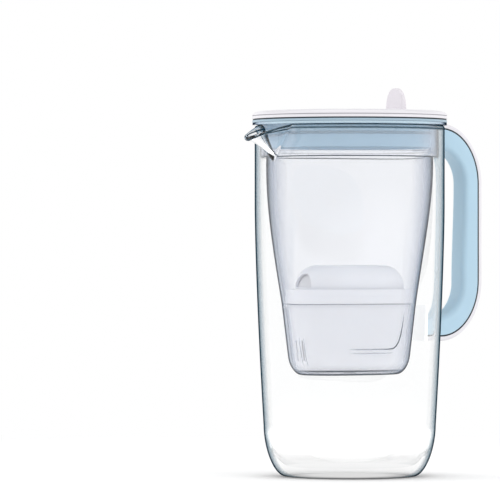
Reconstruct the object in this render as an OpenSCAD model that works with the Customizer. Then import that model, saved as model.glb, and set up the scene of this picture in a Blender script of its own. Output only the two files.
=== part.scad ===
// Water filter pitcher with a flip lid.
// Lengths are in millimetres. The origin is on the axis of the glass, on the table.
// +Z is up, +X points to the handle and -X to the spout.

/* [Glass jug] */
// Height of the glass rim above the table
jug_h = 248; // [230:1:280]
// Outside radius of the straight upper part of the glass
mouth_r = 67.3; // [62:0.1:76]
// Thickness of the glass wall
glass_wall = 3.2; // [2.5:0.1:4.5]
// Thickness of the glass floor
floor_t = 7; // [4:0.5:12]
// Height where the straight upper part ends and the slow taper begins
taper_top = 190; // [160:1:205]
// How much narrower the glass is at the lower end of the taper
taper_drop = 6.3; // [0:0.1:8]
// Height of the rounded bottom corner
heel_h = 36; // [20:1:50]
// Width of the rounded bottom corner
heel_w = 15; // [8:0.5:20]

/* [Spout] */
// How far the spout tip stands out from the glass
spout_reach = 22; // [12:0.5:28]
// Half of the spout's width at the rim
spout_half_w = 17.8; // [12:0.1:20]
// Height from the rim down to the lowest point of the spout's fold
spout_h = 25; // [18:0.5:32]
// How far the underside of the tip lies below the rim
spout_drop = 12; // [6:0.5:14]
// Thickness of the glass at the spout's lip
lip_t = 3; // [2:0.1:4]

/* [Handle] */
// Free space for the fingers between the glass and the upright grip
finger_gap = 30; // [24:0.5:36]
// Thickness of the upright grip, seen from the side
grip_t = 11.6; // [9:0.1:15]
// Width of the grip and of its outer shell
grip_w = 17; // [14:0.5:22]
// Thickness of the outer shell
shell_t = 3.6; // [2.5:0.1:5]
// How far the top of the grip lies below the rim
grip_drop = 0.9; // [0:0.1:6]
// Height of the grip from its lower to its upper arm
grip_h = 148.7; // [130:0.5:160]
// Height of the finger opening
opening_h = 121; // [105:0.5:125]
// Thickness of the upper arm
upper_arm_t = 14.6; // [11:0.1:18]
// How much closer to the glass the grip stands at its lower end
grip_lean = 2; // [0:0.1:4]
// Thickness of the bonding pads between the glass and the handle
pad_t = 2.2; // [1.5:0.1:3]
// Width of the bonding pads
pad_w = 19; // [17:0.5:22]
// Width of the handle's outer corners
outer_corner_w = 33.4; // [28:0.1:36]
// Height of the handle's outer corners
outer_corner_h = 39.7; // [34:0.1:42]
// Width of the corners of the finger opening
inner_corner_w = 24; // [18:0.5:27]
// Height of the corners of the finger opening
inner_corner_h = 25; // [18:0.5:30]

/* [Funnel tank] */
// Thickness of the funnel's wall
tank_wall = 1.8; // [1.4:0.1:2.4]
// How far the funnel's bottom lies above the table
funnel_z = 71.8; // [60:0.1:76]
// Height of the cartridge seat above the funnel's bottom
seat_h = 50.4; // [46:0.1:54]
// Radial gap between the funnel's collar and the glass
collar_gap = 0.7; // [0.4:0.05:0.9]
// Thickness of the collar's wall
collar_wall = 1.6; // [1.2:0.1:2]
// Depth of the collar inside the glass
collar_h = 23; // [20:0.5:27]
// How much narrower the tank is than the collar
tank_inset = 4.3; // [3:0.1:5]
// Width of the way past the collar's flat side to the spout
pour_gap = 4.7; // [4.4:0.1:6]
// Thickness of the flange that rests on the glass rim
flange_t = 1.7; // [1.2:0.1:2.4]
// How far the flange reaches past the glass
flange_over = 1.5; // [0.8:0.1:2]
// Radius of the drain hole in the funnel's floor
drain_r = 4.5; // [3:0.5:7]

/* [Cartridge] */
// Half length of the cartridge's rim
cart_a = 49.2; // [46:0.1:50]
// Half width of the cartridge's rim
cart_b = 31.7; // [28:0.1:33]
// Height of the cartridge's rim
cart_rim_h = 9.9; // [8:0.1:12]
// Height of the dome above the rim
dome_h = 17; // [12:0.5:20]
// How far the dome stands back from the rim
dome_inset = 6.2; // [5:0.1:8]
// How far the cup stands back from the rim
cup_inset = 2.6; // [2.2:0.1:3.4]
// Thickness of the cartridge's walls
cart_wall = 1.6; // [1.2:0.1:2]
// Radius of the arched inlet windows in the dome
window_r = 9.5; // [7:0.5:10]
// Depth of the granules in the cup
granule_h = 38; // [28:1:40]

/* [Lid] */
// How far the lid stands out past the funnel's flange
lid_over = 0.3; // [0.2:0.1:2]
// Height of the white cover plate
plate_h = 5.5; // [5.2:0.1:8]
// Thickness of the cover plate's top
plate_t = 2.4; // [2:0.1:2.6]
// Width of the cover plate's softly rounded edge
plate_round_w = 6; // [3:0.1:8]
// Height of the shadow groove round the cover plate above its lower edge
groove_rise = 1.9; // [1.4:0.1:2]
// Thickness of the lid base's deck
deck_t = 2.5; // [2:0.1:3.5]
// Depth of the lid base's skirt
skirt_h = 18; // [12:0.5:20]
// Thickness of the skirt
skirt_t = 1.6; // [1.4:0.1:2]
// Radial gap between the skirt and the collar
skirt_gap = 0.4; // [0.3:0.05:0.7]

/* [Flap and hinge] */
// Radius of the flap's rounded ends
flap_r = 46; // [42:0.5:48]
// Half of the flap's width
flap_half_w = 28; // [24:0.5:32]
// Gap around the flap
flap_gap = 0.5; // [0.4:0.05:0.9]
// Gap between the flap and the lid along the hinge
hinge_gap = 1; // [0.9:0.05:1.2]
// Width of the ledge that the flap rests on
ledge_w = 3; // [2:0.1:4]
// Distance from the jug's axis to the hinge pin
hinge_x = 45.6; // [45:0.1:48]
// Radius of the hinge pin
pin_r = 1; // [0.8:0.1:1.2]
// Radial clearance between the pin and the flap's knuckle
pin_clearance = 0.06; // [0.03:0.01:0.1]
// Radius of the flap's knuckle
knuckle_r = 2.2; // [2:0.1:2.4]
// Length of the flap's knuckle
knuckle_w = 16; // [12:0.5:20]
// Thickness of the thumb tab
tab_t = 4.2; // [3:0.1:5]
// Width of the thumb tab at its foot
tab_w = 20.2; // [16:0.1:24]
// Height of the thumb tab above the lid
tab_h = 17.3; // [12:0.1:20]

/* [Change indicator] */
// Radius of the indicator's case
case_r = 12.5; // [12:0.1:14]
// Height of the indicator's case
case_h = 7.6; // [7.2:0.1:9]
// Radius of the coin cell
cell_r = 10; // [8:0.5:10]
// Thickness of the coin cell
cell_t = 3.2; // [2.5:0.1:3.2]

/* [Hidden] */

$fn = 96;
eps = 0.01;
// Gap between flat faces of parts that lift off each other
seat_gap = 0.1;
// Gap between faces of parts that are joined for good
snug = 0.05;
// Gap between the glass rim's rounded edge and the flange on it
rim_seat = 0.3;
// Way in which the glass narrows: 1 would be a straight cone
taper_power = 1.45;
// Fullness of the rounded bottom corner: 2 would be an ellipse
heel_power = 1.8;
// Colours
light_blue = [0.72, 0.84, 0.92];
soft_white = [0.95, 0.95, 0.96];
clear_glass = [0.75, 0.85, 0.9, 0.3];
clear_plastic = [0.85, 0.88, 0.92, 0.45];

// Overrun of a cut past the face that it opens
cut = 1;

foot_r = mouth_r - taper_drop - heel_w;
// How much smaller the flat floor is inside the glass than the foot under it
inner_foot_inset = 4;
inner_foot_r = foot_r - inner_foot_inset;
inner_heel_power = 1.9;
inner_heel_w = heel_w + foot_r - inner_foot_r - glass_wall;
bore_r = mouth_r - glass_wall;

flange_r = mouth_r + flange_over;
lid_r = flange_r + lid_over;
// How far the lid base's deck stands back from the cover plate's edge
deck_inset = 0.1;
flange_z = jug_h + rim_seat;
flange_top = flange_z + flange_t;
deck_z = flange_top + seat_gap;
deck_top = deck_z + deck_t;
plate_z = deck_top + snug;
plate_top = plate_z + plate_h;

collar_r = bore_r - collar_gap;
collar_z = flange_z - collar_h;
pour_flat = bore_r - pour_gap;
tank_top_r = collar_r - tank_inset;
// Thickness of the shoulder between the tank and its collar, and how far the tank's wall
// ends below the shoulder's top
shoulder_t = 1.8;
shoulder_step = 0.4;

seat_z = funnel_z + seat_h;
cart_gap = 0.4;
// Gap under the cartridge's rim, between the ledge and the cup, and under the cup
rim_gap = 0.3;
ledge_gap = 0.8;
cup_gap = 0.8;
cart_z = seat_z + rim_gap;
rim_top_z = cart_z + cart_rim_h;
oval_power = 2.3;
ring_points = 48;
// Draft of the cup's ends and sides
draft_a = 0.127;
draft_b = 0.085;

skirt_r = collar_r - collar_wall - skirt_gap;
skirt_z = deck_z - skirt_h;
skirt_flat = pour_flat - collar_wall - skirt_gap;
seal_z = deck_z - skirt_h / 2;
seal_h = 1.8;
seal_depth = 0.8;
seal_out = 0.1;
// How much slimmer the skirt is below the seal
skirt_step = 0.4;

flap_wall = 1.6;
flap_under = plate_top - plate_t;
flap_bottom = deck_top + seat_gap;
flap_back = hinge_x - knuckle_r;
// Depth of the hinge axis below the lid's top
hinge_depth = 1.45;
hinge_z = plate_top - hinge_depth;
// How far the pin reaches into its bosses, and the radial room that it has there
pin_hold = 6;
pin_room = 0.02;
pin_half = knuckle_w / 2 + pin_hold;
// Gap around the knuckle, and how far its web lies below the lid's top
boss_gap = 0.4;
web_drop = 0.55;
tongue_w = 12;
tongue_t = 2.2;
tongue_h = 4.4;
// How far the tab stands in from the flap's edge
tab_edge = 0.2;
tab_x = flap_back - tab_t - tab_edge;

// The tongue passes just in front of the flap's rear wall
tongue_x = flap_back - flap_wall - snug - tongue_t;

case_wall = 1.2;
// Space between the indicator's case and the thumb tab
case_gap = 2.4;
case_x = tab_x - case_r - case_gap;
case_top = flap_under - snug;
case_bottom = case_top - case_h;
cover_t = 1.6;
board_t = 1;

// ---- shared shapes ----

// Point at angle a on an oval with half axes u and v
function oval_point(u, v, power, a) = [
    u * sign(cos(a)) * pow(abs(cos(a)), 2 / power),
    v * sign(sin(a)) * pow(abs(sin(a)), 2 / power)];

function oval(u, v, power) = [for (i = [0 : ring_points - 1])
    oval_point(u, v, power, 360 * i / ring_points)];

// One level of a lofted solid: an oval at height z
function level(u, v, power, z) = [for (p = oval(u, v, power)) [p[0], p[1], z]];

// Closed solid through a list of rings that all have the same number of points
module loft(rings) {
    n = len(rings[0]);
    last = len(rings) - 1;
    points = [for (ring = rings) each ring];
    walls = [for (k = [0 : last - 1], i = [0 : n - 1]) each [
        [k * n + i, k * n + n + (i + 1) % n, k * n + (i + 1) % n],
        [k * n + i, k * n + n + i, k * n + n + (i + 1) % n]]];
    floor_face = [for (i = [0 : n - 1]) i];
    roof_face = [for (i = [n - 1 : -1 : 0]) last * n + i];
    polyhedron(points, concat([floor_face], walls, [roof_face]));
}

// Disc with one flat side, at x = -flat
module flat_disc(r, flat) {
    intersection() {
        circle(r);
        translate([-flat, -r]) square([flat + r, 2 * r]);
    }
}

module flat_ring(r, flat, wall, h) {
    linear_extrude(h) difference() {
        flat_disc(r, flat);
        flat_disc(r - wall, flat - wall);
    }
}

// ---- glass jug ----

function side_r(z) = z >= taper_top ? mouth_r
    : mouth_r - taper_drop * pow((taper_top - z) / (taper_top - heel_h), taper_power);

// Outside radius of the glass at height z
function glass_r(z) = z >= heel_h ? side_r(z)
    : foot_r + heel_w * pow(1 - pow((heel_h - z) / heel_h, heel_power), 1 / heel_power);

// Inside radius of the glass at height z
function inner_r(z) = z >= heel_h ? side_r(z) - glass_wall
    : inner_foot_r + inner_heel_w
        * pow(1 - pow((heel_h - z) / (heel_h - floor_t), inner_heel_power), 1 / inner_heel_power);

heel_steps = 10;
taper_steps = 12;
rim_steps = 8;

// Heights at which the bottom corner is drawn, closer together towards the floor
function heel_heights(low) = [for (i = [0 : heel_steps])
    low + (heel_h - low) * pow(i / heel_steps, 2)];

taper_heights = [for (i = [1 : taper_steps]) heel_h + (taper_top - heel_h) * i / taper_steps];

module glass_outside(grow = 0) {
    edge = jug_h - glass_wall / 2;
    rim = [for (i = [0 : rim_steps]) let (a = 90 * i / rim_steps)
        [mouth_r - glass_wall / 2 * (1 - cos(a)) + grow, edge + glass_wall / 2 * sin(a)]];
    rotate_extrude() polygon(concat(
        [[0, 0]],
        [for (z = concat(heel_heights(0), taper_heights)) [glass_r(z) + grow, z]],
        rim,
        [[0, jug_h]]));
}

module glass_inside() {
    edge = jug_h - glass_wall / 2;
    rim = [for (i = [0 : rim_steps]) let (a = 90 * i / rim_steps)
        [bore_r + glass_wall / 2 * (1 - cos(a)), edge + glass_wall / 2 * sin(a)]];
    rotate_extrude() polygon(concat(
        [[0, floor_t]],
        [for (z = concat(heel_heights(floor_t), taper_heights)) [inner_r(z), z]],
        rim,
        [[mouth_r - glass_wall / 2, jug_h + cut], [0, jug_h + cut]]));
}

spout_rows = 6;
spout_cols = 16;
// Part of the spout's reach that grows steadily; the rest is the curl at the tip
spout_steady = 0.45;
spout_start = 0.06;
// Where the solids of the spout end inside the jug
spout_back = 40;
// How deep the spout's sides are rooted in the glass wall, and its rim below the rim
spout_root = 0.5;
// How much narrower the channel is than the spout around it: the glass is thinner at the sides
lip_side = 0.87;
channel_scale = (spout_half_w - lip_t * lip_side) / spout_half_w;
// How far the channel is cut out above the rim
channel_rise = 5;

// Fullness of the spout across: 1 on the ridge, 0 at the folds
function ridge(u) = 1 - pow(abs(u), 3);

// Point on the spout: u runs across from -1 to 1, v up from the fold's end to the lip,
// and wall moves the point inwards through the glass
function spout_point(u, v, wall) = let (
    y = u * spout_half_w * v,
    fold_z = jug_h - 3 * spout_root - spout_h * (1 - v),
    ridge_z = jug_h - spout_h + (spout_h - spout_drop) * sin(90 * v),
    out = spout_reach * (spout_steady * sin(90 * v) + (1 - spout_steady) * (1 - cos(90 * v))))
    [-(sqrt(pow(mouth_r - spout_root, 2) - y * y) + (out + spout_root) * (1 - u * u)
            - wall * cos(45 + 45 * v)),
        y * (wall > 0 ? channel_scale : 1),
        fold_z - (fold_z - ridge_z) * ridge(u) + wall * sin(45 + 45 * v) * ridge(u)];

// Upper edge of the lip, or of the channel, which is cut out upwards past the rim
function spout_top(u, wall) = let (
    p = spout_point(u, 1, wall),
    rise = wall > 0 ? channel_rise : spout_root)
    [p[0], p[1] * (1 + rise / spout_h),
        wall > 0 ? jug_h + channel_rise : p[2] + rise + (lip_t - rise) * ridge(u)];

// Solid from the spout's surface back into the jug
module spout_solid(wall) {
    heights = [for (i = [0 : spout_rows]) spout_start + (1 - spout_start) * i / spout_rows];
    loft([for (j = [0 : spout_cols]) let (
        u = -1 + 2 * j / spout_cols,
        front = concat([for (v = heights) spout_point(u, v, wall)], [spout_top(u, wall)]))
        concat(front, [for (i = [spout_rows + 1 : -1 : 0])
            [-spout_back, front[i][1], front[i][2]]])]);
}

module glass_jug() {
    color(clear_glass) difference() {
        union() {
            glass_outside();
            spout_solid(0);
        }
        glass_inside();
        spout_solid(glass_wall);
    }
}

// ---- handle ----

grip_top = jug_h - grip_drop;
grip_bottom = grip_top - grip_h;
grip_x = mouth_r + finger_gap;
opening_top = grip_top - upper_arm_t;
opening_bottom = opening_top - opening_h;
upper_root_x = mouth_r + pad_t;
// The lower root is fitted to the glass a little above its underside, with this extra space
root_rise = 10;
root_space = 0.6;
lower_root_x = glass_r(grip_bottom + root_rise) + pad_t + root_space;
outer_corner = [outer_corner_w, outer_corner_h];
inner_corner = [inner_corner_w, inner_corner_h];
// Rounding of the grip's and the shell's long edges: towards the hand and at their seam
grip_round = 4;
grip_seam_round = 1;
shell_round = 2.6;
shell_seam_round = 0.4;
// Largest share of an arm's depth that a rounded edge may take
round_share = 0.45;
// How deep the pads reach round the glass, and how far they pass the arms' inner edges
pad_depth = 8;
upper_pad_drop = 2;
lower_pad_rise = 9;
corner_steps = 9;
root_steps = 3;

// Side view of a C-shaped edge: top arm, round corner, upright, round corner, lower arm.
// Each has the same number of points, so two edges pair up.
function c_edge(x, z_top, z_bottom, corner, lean, x_top, x_low) = concat(
    [for (i = [0 : root_steps - 1]) let (t = i / root_steps)
        [x_top + (x - corner[0] - x_top) * t, z_top]],
    [for (i = [0 : corner_steps]) let (a = 90 * i / corner_steps)
        [x - corner[0] * (1 - sin(a)), z_top - corner[1] * (1 - cos(a))]],
    [for (i = [0 : corner_steps]) let (a = 90 * i / corner_steps)
        [x - lean - corner[0] * (1 - cos(a)), z_bottom + corner[1] * (1 - sin(a))]],
    [for (i = [root_steps - 1 : -1 : 0]) let (t = i / root_steps)
        [x_low + (x - lean - corner[0] - x_low) * t, z_bottom]]);

grip_outside = c_edge(grip_x + grip_t, grip_top, grip_bottom, outer_corner, 0,
    upper_root_x, lower_root_x);
grip_inside = c_edge(grip_x, opening_top, opening_bottom, inner_corner, grip_lean,
    upper_root_x, lower_root_x);
shell_inside = c_edge(grip_x + grip_t + snug, grip_top + snug, grip_bottom - snug,
    outer_corner, 0, upper_root_x, lower_root_x);
shell_outside = c_edge(grip_x + grip_t + shell_t, grip_top + shell_t, grip_bottom - shell_t,
    outer_corner + [shell_t, shell_t], 0, upper_root_x, lower_root_x);

// Ring across an arm between two points of the side view, with rounded corners.
// near_r and far_r are the corner radii at the first and at the second point.
section_steps = 4;
function corner_arc(from, r, start) = [for (i = [0 : section_steps])
    let (a = start + 90 * i / section_steps)
    [from[0] + r * cos(a), from[1] + r * sin(a)]];

function arm_section(depth, w, near_r, far_r) = concat(
    corner_arc([near_r, w / 2 - near_r], near_r, 90),
    corner_arc([near_r, -w / 2 + near_r], near_r, 180),
    corner_arc([depth - far_r, -w / 2 + far_r], far_r, 270),
    corner_arc([depth - far_r, w / 2 - far_r], far_r, 0));

module arm_sweep(near, far, w, near_r, far_r) {
    loft([for (k = [0 : len(near) - 1]) let (
        d = far[k] - near[k],
        depth = norm(d),
        across = d / depth)
        [for (p = arm_section(depth, w, min(near_r, depth * round_share),
                min(far_r, depth * round_share)))
            [near[k][0] + across[0] * p[0], p[1], near[k][1] + across[1] * p[0]]]]);
}

module handle_grip() {
    color(light_blue) arm_sweep(grip_inside, grip_outside, grip_w,
        grip_round, grip_seam_round);
}

module handle_shell() {
    color(soft_white) arm_sweep(shell_inside, shell_outside, grip_w,
        shell_seam_round, shell_round);
}

// Pad bonded to the glass, hollowed to the glass's own curve
module bonding_pad(root_x, low, high) {
    difference() {
        translate([root_x - pad_depth, -pad_w / 2, low])
            cube([pad_depth - snug, pad_w, high - low]);
        glass_outside(snug);
    }
}

module handle_upper_pad() {
    color(soft_white) bonding_pad(upper_root_x, opening_top - upper_pad_drop, grip_top);
}

module handle_lower_pad() {
    color(soft_white) bonding_pad(lower_root_x, grip_bottom - shell_t,
        opening_bottom + lower_pad_rise);
}

// ---- funnel tank ----

low_a = cart_a + cart_gap + tank_wall;
low_b = cart_b + cart_gap + tank_wall;
// Rounded corner at the foot of the tank, outside and inside
cup_corner_h = 13;
cup_corner_w = 8;
floor_corner_h = 1;
floor_corner_w = 0.8;

function tank_share(z) = (z - seat_z) / (collar_z - seat_z);
function smooth(s) = s * s * (3 - 2 * s);
// Loss of half width in the rounded corner at the foot of the cup
function corner_loss(z, foot, h, w) = z >= foot + h ? 0
    : w * (1 - sqrt(max(0, 1 - pow((foot + h - z) / h, 2))));

// One level of the tank, moved inwards by inset
function tank_level(z, inset) = let (s = tank_share(z))
    z >= seat_z
    ? level(tank_top_r - (tank_top_r - low_a) * pow(1 - s, 3) - inset,
        low_b + (tank_top_r - low_b) * smooth(s) - inset,
        oval_power - (oval_power - 2) * s, z)
    : let (loss = corner_loss(z, funnel_z, cup_corner_h, cup_corner_w) + inset)
    level(low_a - draft_a * (seat_z - z) - loss, low_b - draft_b * (seat_z - z) - loss,
        oval_power, z);

cup_steps = 3;
corner_rows = 5;
tank_steps = 11;
tank_heights = concat(
    [for (i = [0 : corner_rows]) funnel_z + cup_corner_h * (1 - cos(90 * i / corner_rows))],
    [for (i = [1 : cup_steps])
        funnel_z + cup_corner_h + (seat_h - cup_corner_h) * i / cup_steps],
    [for (i = [1 : tank_steps]) seat_z + (collar_z - seat_z) * i / tank_steps]);

module oval_ring(z, h, u_out, v_out, u_in, v_in) {
    translate([0, 0, z]) linear_extrude(h) difference() {
        polygon(oval(u_out, v_out, oval_power));
        polygon(oval(u_in, v_in, oval_power));
    }
}

// The tank's upper edge, raised above the foot of the collar
function tank_mouth(inset, rise) = [for (p = tank_level(collar_z, inset))
    [p[0], p[1], collar_z + rise]];

seat_w = cup_inset + cart_gap - ledge_gap;
seat_ledge_h = 2;

module funnel_tank() {
    corner_z = funnel_z + tank_wall + floor_corner_h;
    inside = [for (z = tank_heights) if (z > corner_z) tank_level(z, tank_wall)];
    floor_ring = [for (p = tank_level(corner_z, tank_wall + floor_corner_w))
        [p[0], p[1], funnel_z + tank_wall]];
    color(clear_plastic) difference() {
        union() {
            // The tank's wall, which ends inside the shoulder
            difference() {
                loft(concat([for (z = tank_heights) tank_level(z, 0)], 
                    [tank_mouth(0, shoulder_t - shoulder_step)]));
                loft(concat([floor_ring], inside, [tank_mouth(tank_wall, shoulder_t + cut)]));
            }
            // Ledge that carries the cartridge's rim
            oval_ring(seat_z - seat_ledge_h, seat_ledge_h, low_a - tank_wall / 2,
                low_b - tank_wall / 2, low_a - tank_wall - seat_w, low_b - tank_wall - seat_w);
            // Shoulder, collar and the flange that rests on the glass
            translate([0, 0, collar_z]) linear_extrude(shoulder_t) difference() {
                flat_disc(collar_r - collar_wall / 2, pour_flat - collar_wall / 2);
                circle(tank_top_r - tank_wall / 2);
            }
            translate([0, 0, collar_z]) flat_ring(collar_r, pour_flat, collar_wall, collar_h + eps);
            translate([0, 0, flange_z]) linear_extrude(flange_t) difference() {
                circle(flange_r);
                flat_disc(collar_r - collar_wall, pour_flat - collar_wall);
            }
        }
        translate([0, 0, funnel_z - cut]) cylinder(r = drain_r, h = tank_wall + 2 * cut);
    }
}

// ---- cartridge ----

cup_a = cart_a - cup_inset;
cup_b = cart_b - cup_inset;
cup_z = funnel_z + tank_wall + cup_gap;
// How far the cup reaches up inside the rim
cup_overlap = 2;
cup_top = cart_z + cup_overlap;
// Rounded corner at the foot of the cup: its height, and its width as a share of that
cup_round = 6;
cup_round_share = 0.7;

function cup_level(z, inset) = let (
    drop = max(0, cart_z - z),
    loss = corner_loss(z, cup_z, cup_round, cup_round) * cup_round_share + inset)
    level(cup_a - draft_a * drop - loss, cup_b - draft_b * drop - loss, oval_power, z);

cup_rows = [0, 0.12, 0.3, 0.55, 1];
function cup_heights(low) = concat([for (t = cup_rows) low + cup_round * t], [cart_z, cup_top]);

// Outlet slots: how many in the floor, their spacing, and each one's width and length
outlet_slots = 5;
outlet_pitch = 9;
outlet_w = 2;
outlet_l = 16;
// Slots low down in each end: where they lie across, and each one's width and height
end_slot_y = 3.5;
end_slot_w = 1.6;
end_slot_h = 14;
end_slot_rise = 2;
end_slot_depth = 8;

module cartridge_cup() {
    color(soft_white) difference() {
        loft([for (z = cup_heights(cup_z)) cup_level(z, 0)]);
        loft(concat([for (z = cup_heights(cup_z + cart_wall)) cup_level(z, cart_wall)],
            [[for (p = cup_level(cup_top, cart_wall)) [p[0], p[1], cup_top + cut]]]));
        // Outlet slots in the floor
        for (i = [0 : outlet_slots - 1]) {
            translate([(i - (outlet_slots - 1) / 2) * outlet_pitch - outlet_w / 2,
                -outlet_l / 2, cup_z - cut]) cube([outlet_w, outlet_l, cart_wall + 2 * cut]);
        }
        // A pair of slots low down in each end
        for (side = [-1, 1], y = [-end_slot_y, end_slot_y]) {
            translate([side * (cup_a - draft_a * seat_h) - end_slot_depth / 2,
                y - end_slot_w / 2, cup_z + cup_round + end_slot_rise])
                cube([end_slot_depth, end_slot_w, end_slot_h]);
        }
    }
}

// The dome stands closer to the rim at the sides and further from it at the ends
dome_end_inset = 1.4;
dome_side_inset = 2;
dome_a = cart_a - dome_inset - dome_end_inset;
dome_b = cart_b - dome_inset + dome_side_inset;
// Height of the gutter's floor above the rim's foot, and its thickness
gutter_h = 3.5;
gutter_t = 1.4;
gutter_z = cart_z + gutter_h;
dome_rows = 7;
rim_w = 2.2;
// How far the rim steps back half way up
rim_step = 0.6;
// How far the dome draws in towards its top at the ends, the share of that at its sides,
// and the fullness of its shoulder
dome_draw = 17;
dome_side_share = 0.62;
dome_power = 1.1;

// Level k of the dome, from its foot to its flat top
function dome_level(k, inset) = let (
    a = 90 * k / dome_rows,
    z = rim_top_z + dome_h * sin(a),
    draw = dome_draw * pow(1 - cos(a), dome_power))
    level(dome_a - draw - inset, dome_b - draw * dome_side_share - inset, oval_power,
        z - inset);

// Height of the windows' sill above the rim, and depth of the cut that opens them
sill_h = 1.5;
window_z = rim_top_z + sill_h;
window_depth = 18;
// Slots in the gutter at both ends: their spacing, width, length and middle past the dome
gutter_slot_pitch = 6;
gutter_slot_w = 2;
gutter_slot_l = 2.8;
gutter_slot_x = 2.2;

module cartridge_cap() {
    outer_foot = [for (p = dome_level(0, 0)) [p[0], p[1], gutter_z]];
    inner_foot = [for (p = dome_level(0, cart_wall)) [p[0], p[1], gutter_z - gutter_t - cut]];
    color(soft_white) difference() {
        union() {
            // Rim wall, with a step half way up
            oval_ring(cart_z, cart_rim_h / 2, cart_a, cart_b, cart_a - rim_w, cart_b - rim_w);
            oval_ring(cart_z + cart_rim_h / 2, cart_rim_h / 2, cart_a - rim_step,
                cart_b - rim_step, cart_a - rim_w, cart_b - rim_w);
            // Gutter floor between the rim and the dome
            oval_ring(gutter_z - gutter_t, gutter_t + eps, cart_a - rim_w / 2, cart_b - rim_w / 2,
                dome_a - cart_wall, dome_b - cart_wall);
            difference() {
                loft(concat([outer_foot], [for (k = [0 : dome_rows]) dome_level(k, 0)]));
                loft(concat([inner_foot], [for (k = [0 : dome_rows]) dome_level(k, cart_wall)]));
            }
        }
        // Arched inlet windows in both ends of the dome
        for (side = [-1, 1]) {
            intersection() {
                translate([side * dome_a - window_depth / 2, 0, window_z]) rotate([0, 90, 0])
                    cylinder(r = window_r, h = window_depth);
                translate([side * dome_a - window_depth / 2, -window_r, window_z])
                    cube([window_depth, 2 * window_r, window_r]);
            }
        }
        // Inlet slots in the gutter at both ends
        for (side = [-1, 1], y = [-1, 0, 1] * gutter_slot_pitch) {
            translate([side * (dome_a + gutter_slot_x) - gutter_slot_l / 2,
                y - gutter_slot_w / 2, gutter_z - gutter_t - cut])
                cube([gutter_slot_l, gutter_slot_w, gutter_t + 2 * cut]);
        }
    }
}

mesh_t = 0.6;
// How far the meshes and the granules stay clear of the cup's wall, and how deep the upper
// mesh lies in the cup
mesh_gap = 0.1;
mesh_drop = 3;
mesh_edge = 1;
granule_gap = 0.3;
// Heights of the levels at which the granules are drawn, as shares of their depth
granule_rows = [0, 0.0225, 0.25, 1];

module cartridge_top_mesh() {
    inset = cart_wall + mesh_gap;
    color("gainsboro") translate([0, 0, cup_top - mesh_drop]) linear_extrude(mesh_t)
        polygon(oval(cup_a - inset, cup_b - inset, oval_power));
}

module cartridge_bottom_mesh() {
    low = cup_z + cart_wall + snug;
    color("gainsboro") loft([for (z = [low, low + mesh_t])
        [for (p = cup_level(cup_z + cart_wall, cart_wall + mesh_edge)) [p[0], p[1], z]]]);
}

module filter_granules() {
    low = cup_z + cart_wall + mesh_t + 2 * snug;
    color([0.25, 0.24, 0.23]) loft([for (t = granule_rows)
        [for (p = cup_level(low + granule_h * t - mesh_t, cart_wall + granule_gap))
            [p[0], p[1], low + granule_h * t]]]);
}

// ---- lid ----

// The flap's outline, larger by grow, and by back along the hinge
module flap_outline(grow, back) {
    intersection() {
        circle(flap_r + grow);
        translate([-flap_r - grow, -flap_half_w - grow])
            square([flap_r + flap_back + grow + back, 2 * (flap_half_w + grow)]);
    }
}

module lid_base() {
    color(light_blue) difference() {
        union() {
            translate([0, 0, deck_z]) linear_extrude(deck_t) difference() {
                circle(lid_r - deck_inset);
                flap_outline(-ledge_w, -ledge_w);
            }
            translate([0, 0, skirt_z]) flat_ring(skirt_r, skirt_flat, skirt_t, skirt_h + eps);
        }
        // Groove for the seal
        translate([0, 0, seal_z])
            flat_ring(skirt_r + cut, skirt_flat + cut, cut + seal_depth, seal_h);
        // The skirt is a little slimmer below the seal
        translate([0, 0, skirt_z - cut])
            flat_ring(skirt_r + cut, skirt_flat + cut, cut + skirt_step, seal_z - skirt_z + cut + eps);
    }
}

module lid_seal() {
    color([0.8, 0.86, 0.9]) translate([0, 0, seal_z + snug])
        flat_ring(skirt_r + seal_out, skirt_flat + seal_out, seal_depth + seal_out - snug,
            seal_h - 2 * snug);
}

boss_w = 5.6;
boss_d = 4.4;
boss_h = plate_h - plate_t;
groove_h = 0.6;
groove_depth = 0.5;
// The rounded edge begins at the groove
plate_round_h = plate_h - groove_rise - groove_h;
round_steps = 8;

module lid_plate() {
    inner = lid_r - plate_t;
    groove_z = plate_z + groove_rise;
    arc = [for (i = [0 : round_steps]) let (a = 90 * i / round_steps)
        [lid_r - plate_round_w * (1 - cos(a)), plate_top - plate_round_h * (1 - sin(a))]];
    color(soft_white) difference() {
        union() {
            rotate_extrude() polygon(concat(
                [[0, flap_under], [inner, flap_under], [inner, plate_z], [lid_r, plate_z],
                    [lid_r, groove_z], [lid_r - groove_depth, groove_z],
                    [lid_r - groove_depth, groove_z + groove_h]],
                arc,
                [[0, plate_top]]));
            // Wall around the opening
            translate([0, 0, plate_z]) linear_extrude(flap_under - plate_z + eps) difference() {
                flap_outline(flap_gap + flap_wall, hinge_gap + flap_wall);
                flap_outline(flap_gap, hinge_gap);
            }
            // Bosses that hold the hinge pin
            for (side = [-1, 1]) {
                translate([flap_back + hinge_gap,
                    side * (knuckle_w / 2 + boss_gap + boss_w / 2) - boss_w / 2,
                    flap_under - boss_h]) cube([boss_d, boss_w, boss_h + eps]);
            }
        }
        translate([0, 0, flap_under - cut]) linear_extrude(plate_t + 2 * cut)
            flap_outline(flap_gap, hinge_gap);
        // Room for the knuckle
        translate([flap_back - cut, -knuckle_w / 2 - boss_gap, plate_z - cut])
            cube([2 * knuckle_r + cut + boss_gap, knuckle_w + 2 * boss_gap, plate_h + 2 * cut]);
        translate([hinge_x, 0, hinge_z]) rotate([90, 0, 0])
            cylinder(r = pin_r + pin_room, h = 2 * (pin_half + cut), center = true);
    }
}

module hinge_pin() {
    color("lightgray") translate([hinge_x, 0, hinge_z]) rotate([90, 0, 0])
        cylinder(r = pin_r, h = 2 * pin_half, center = true);
}

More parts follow.
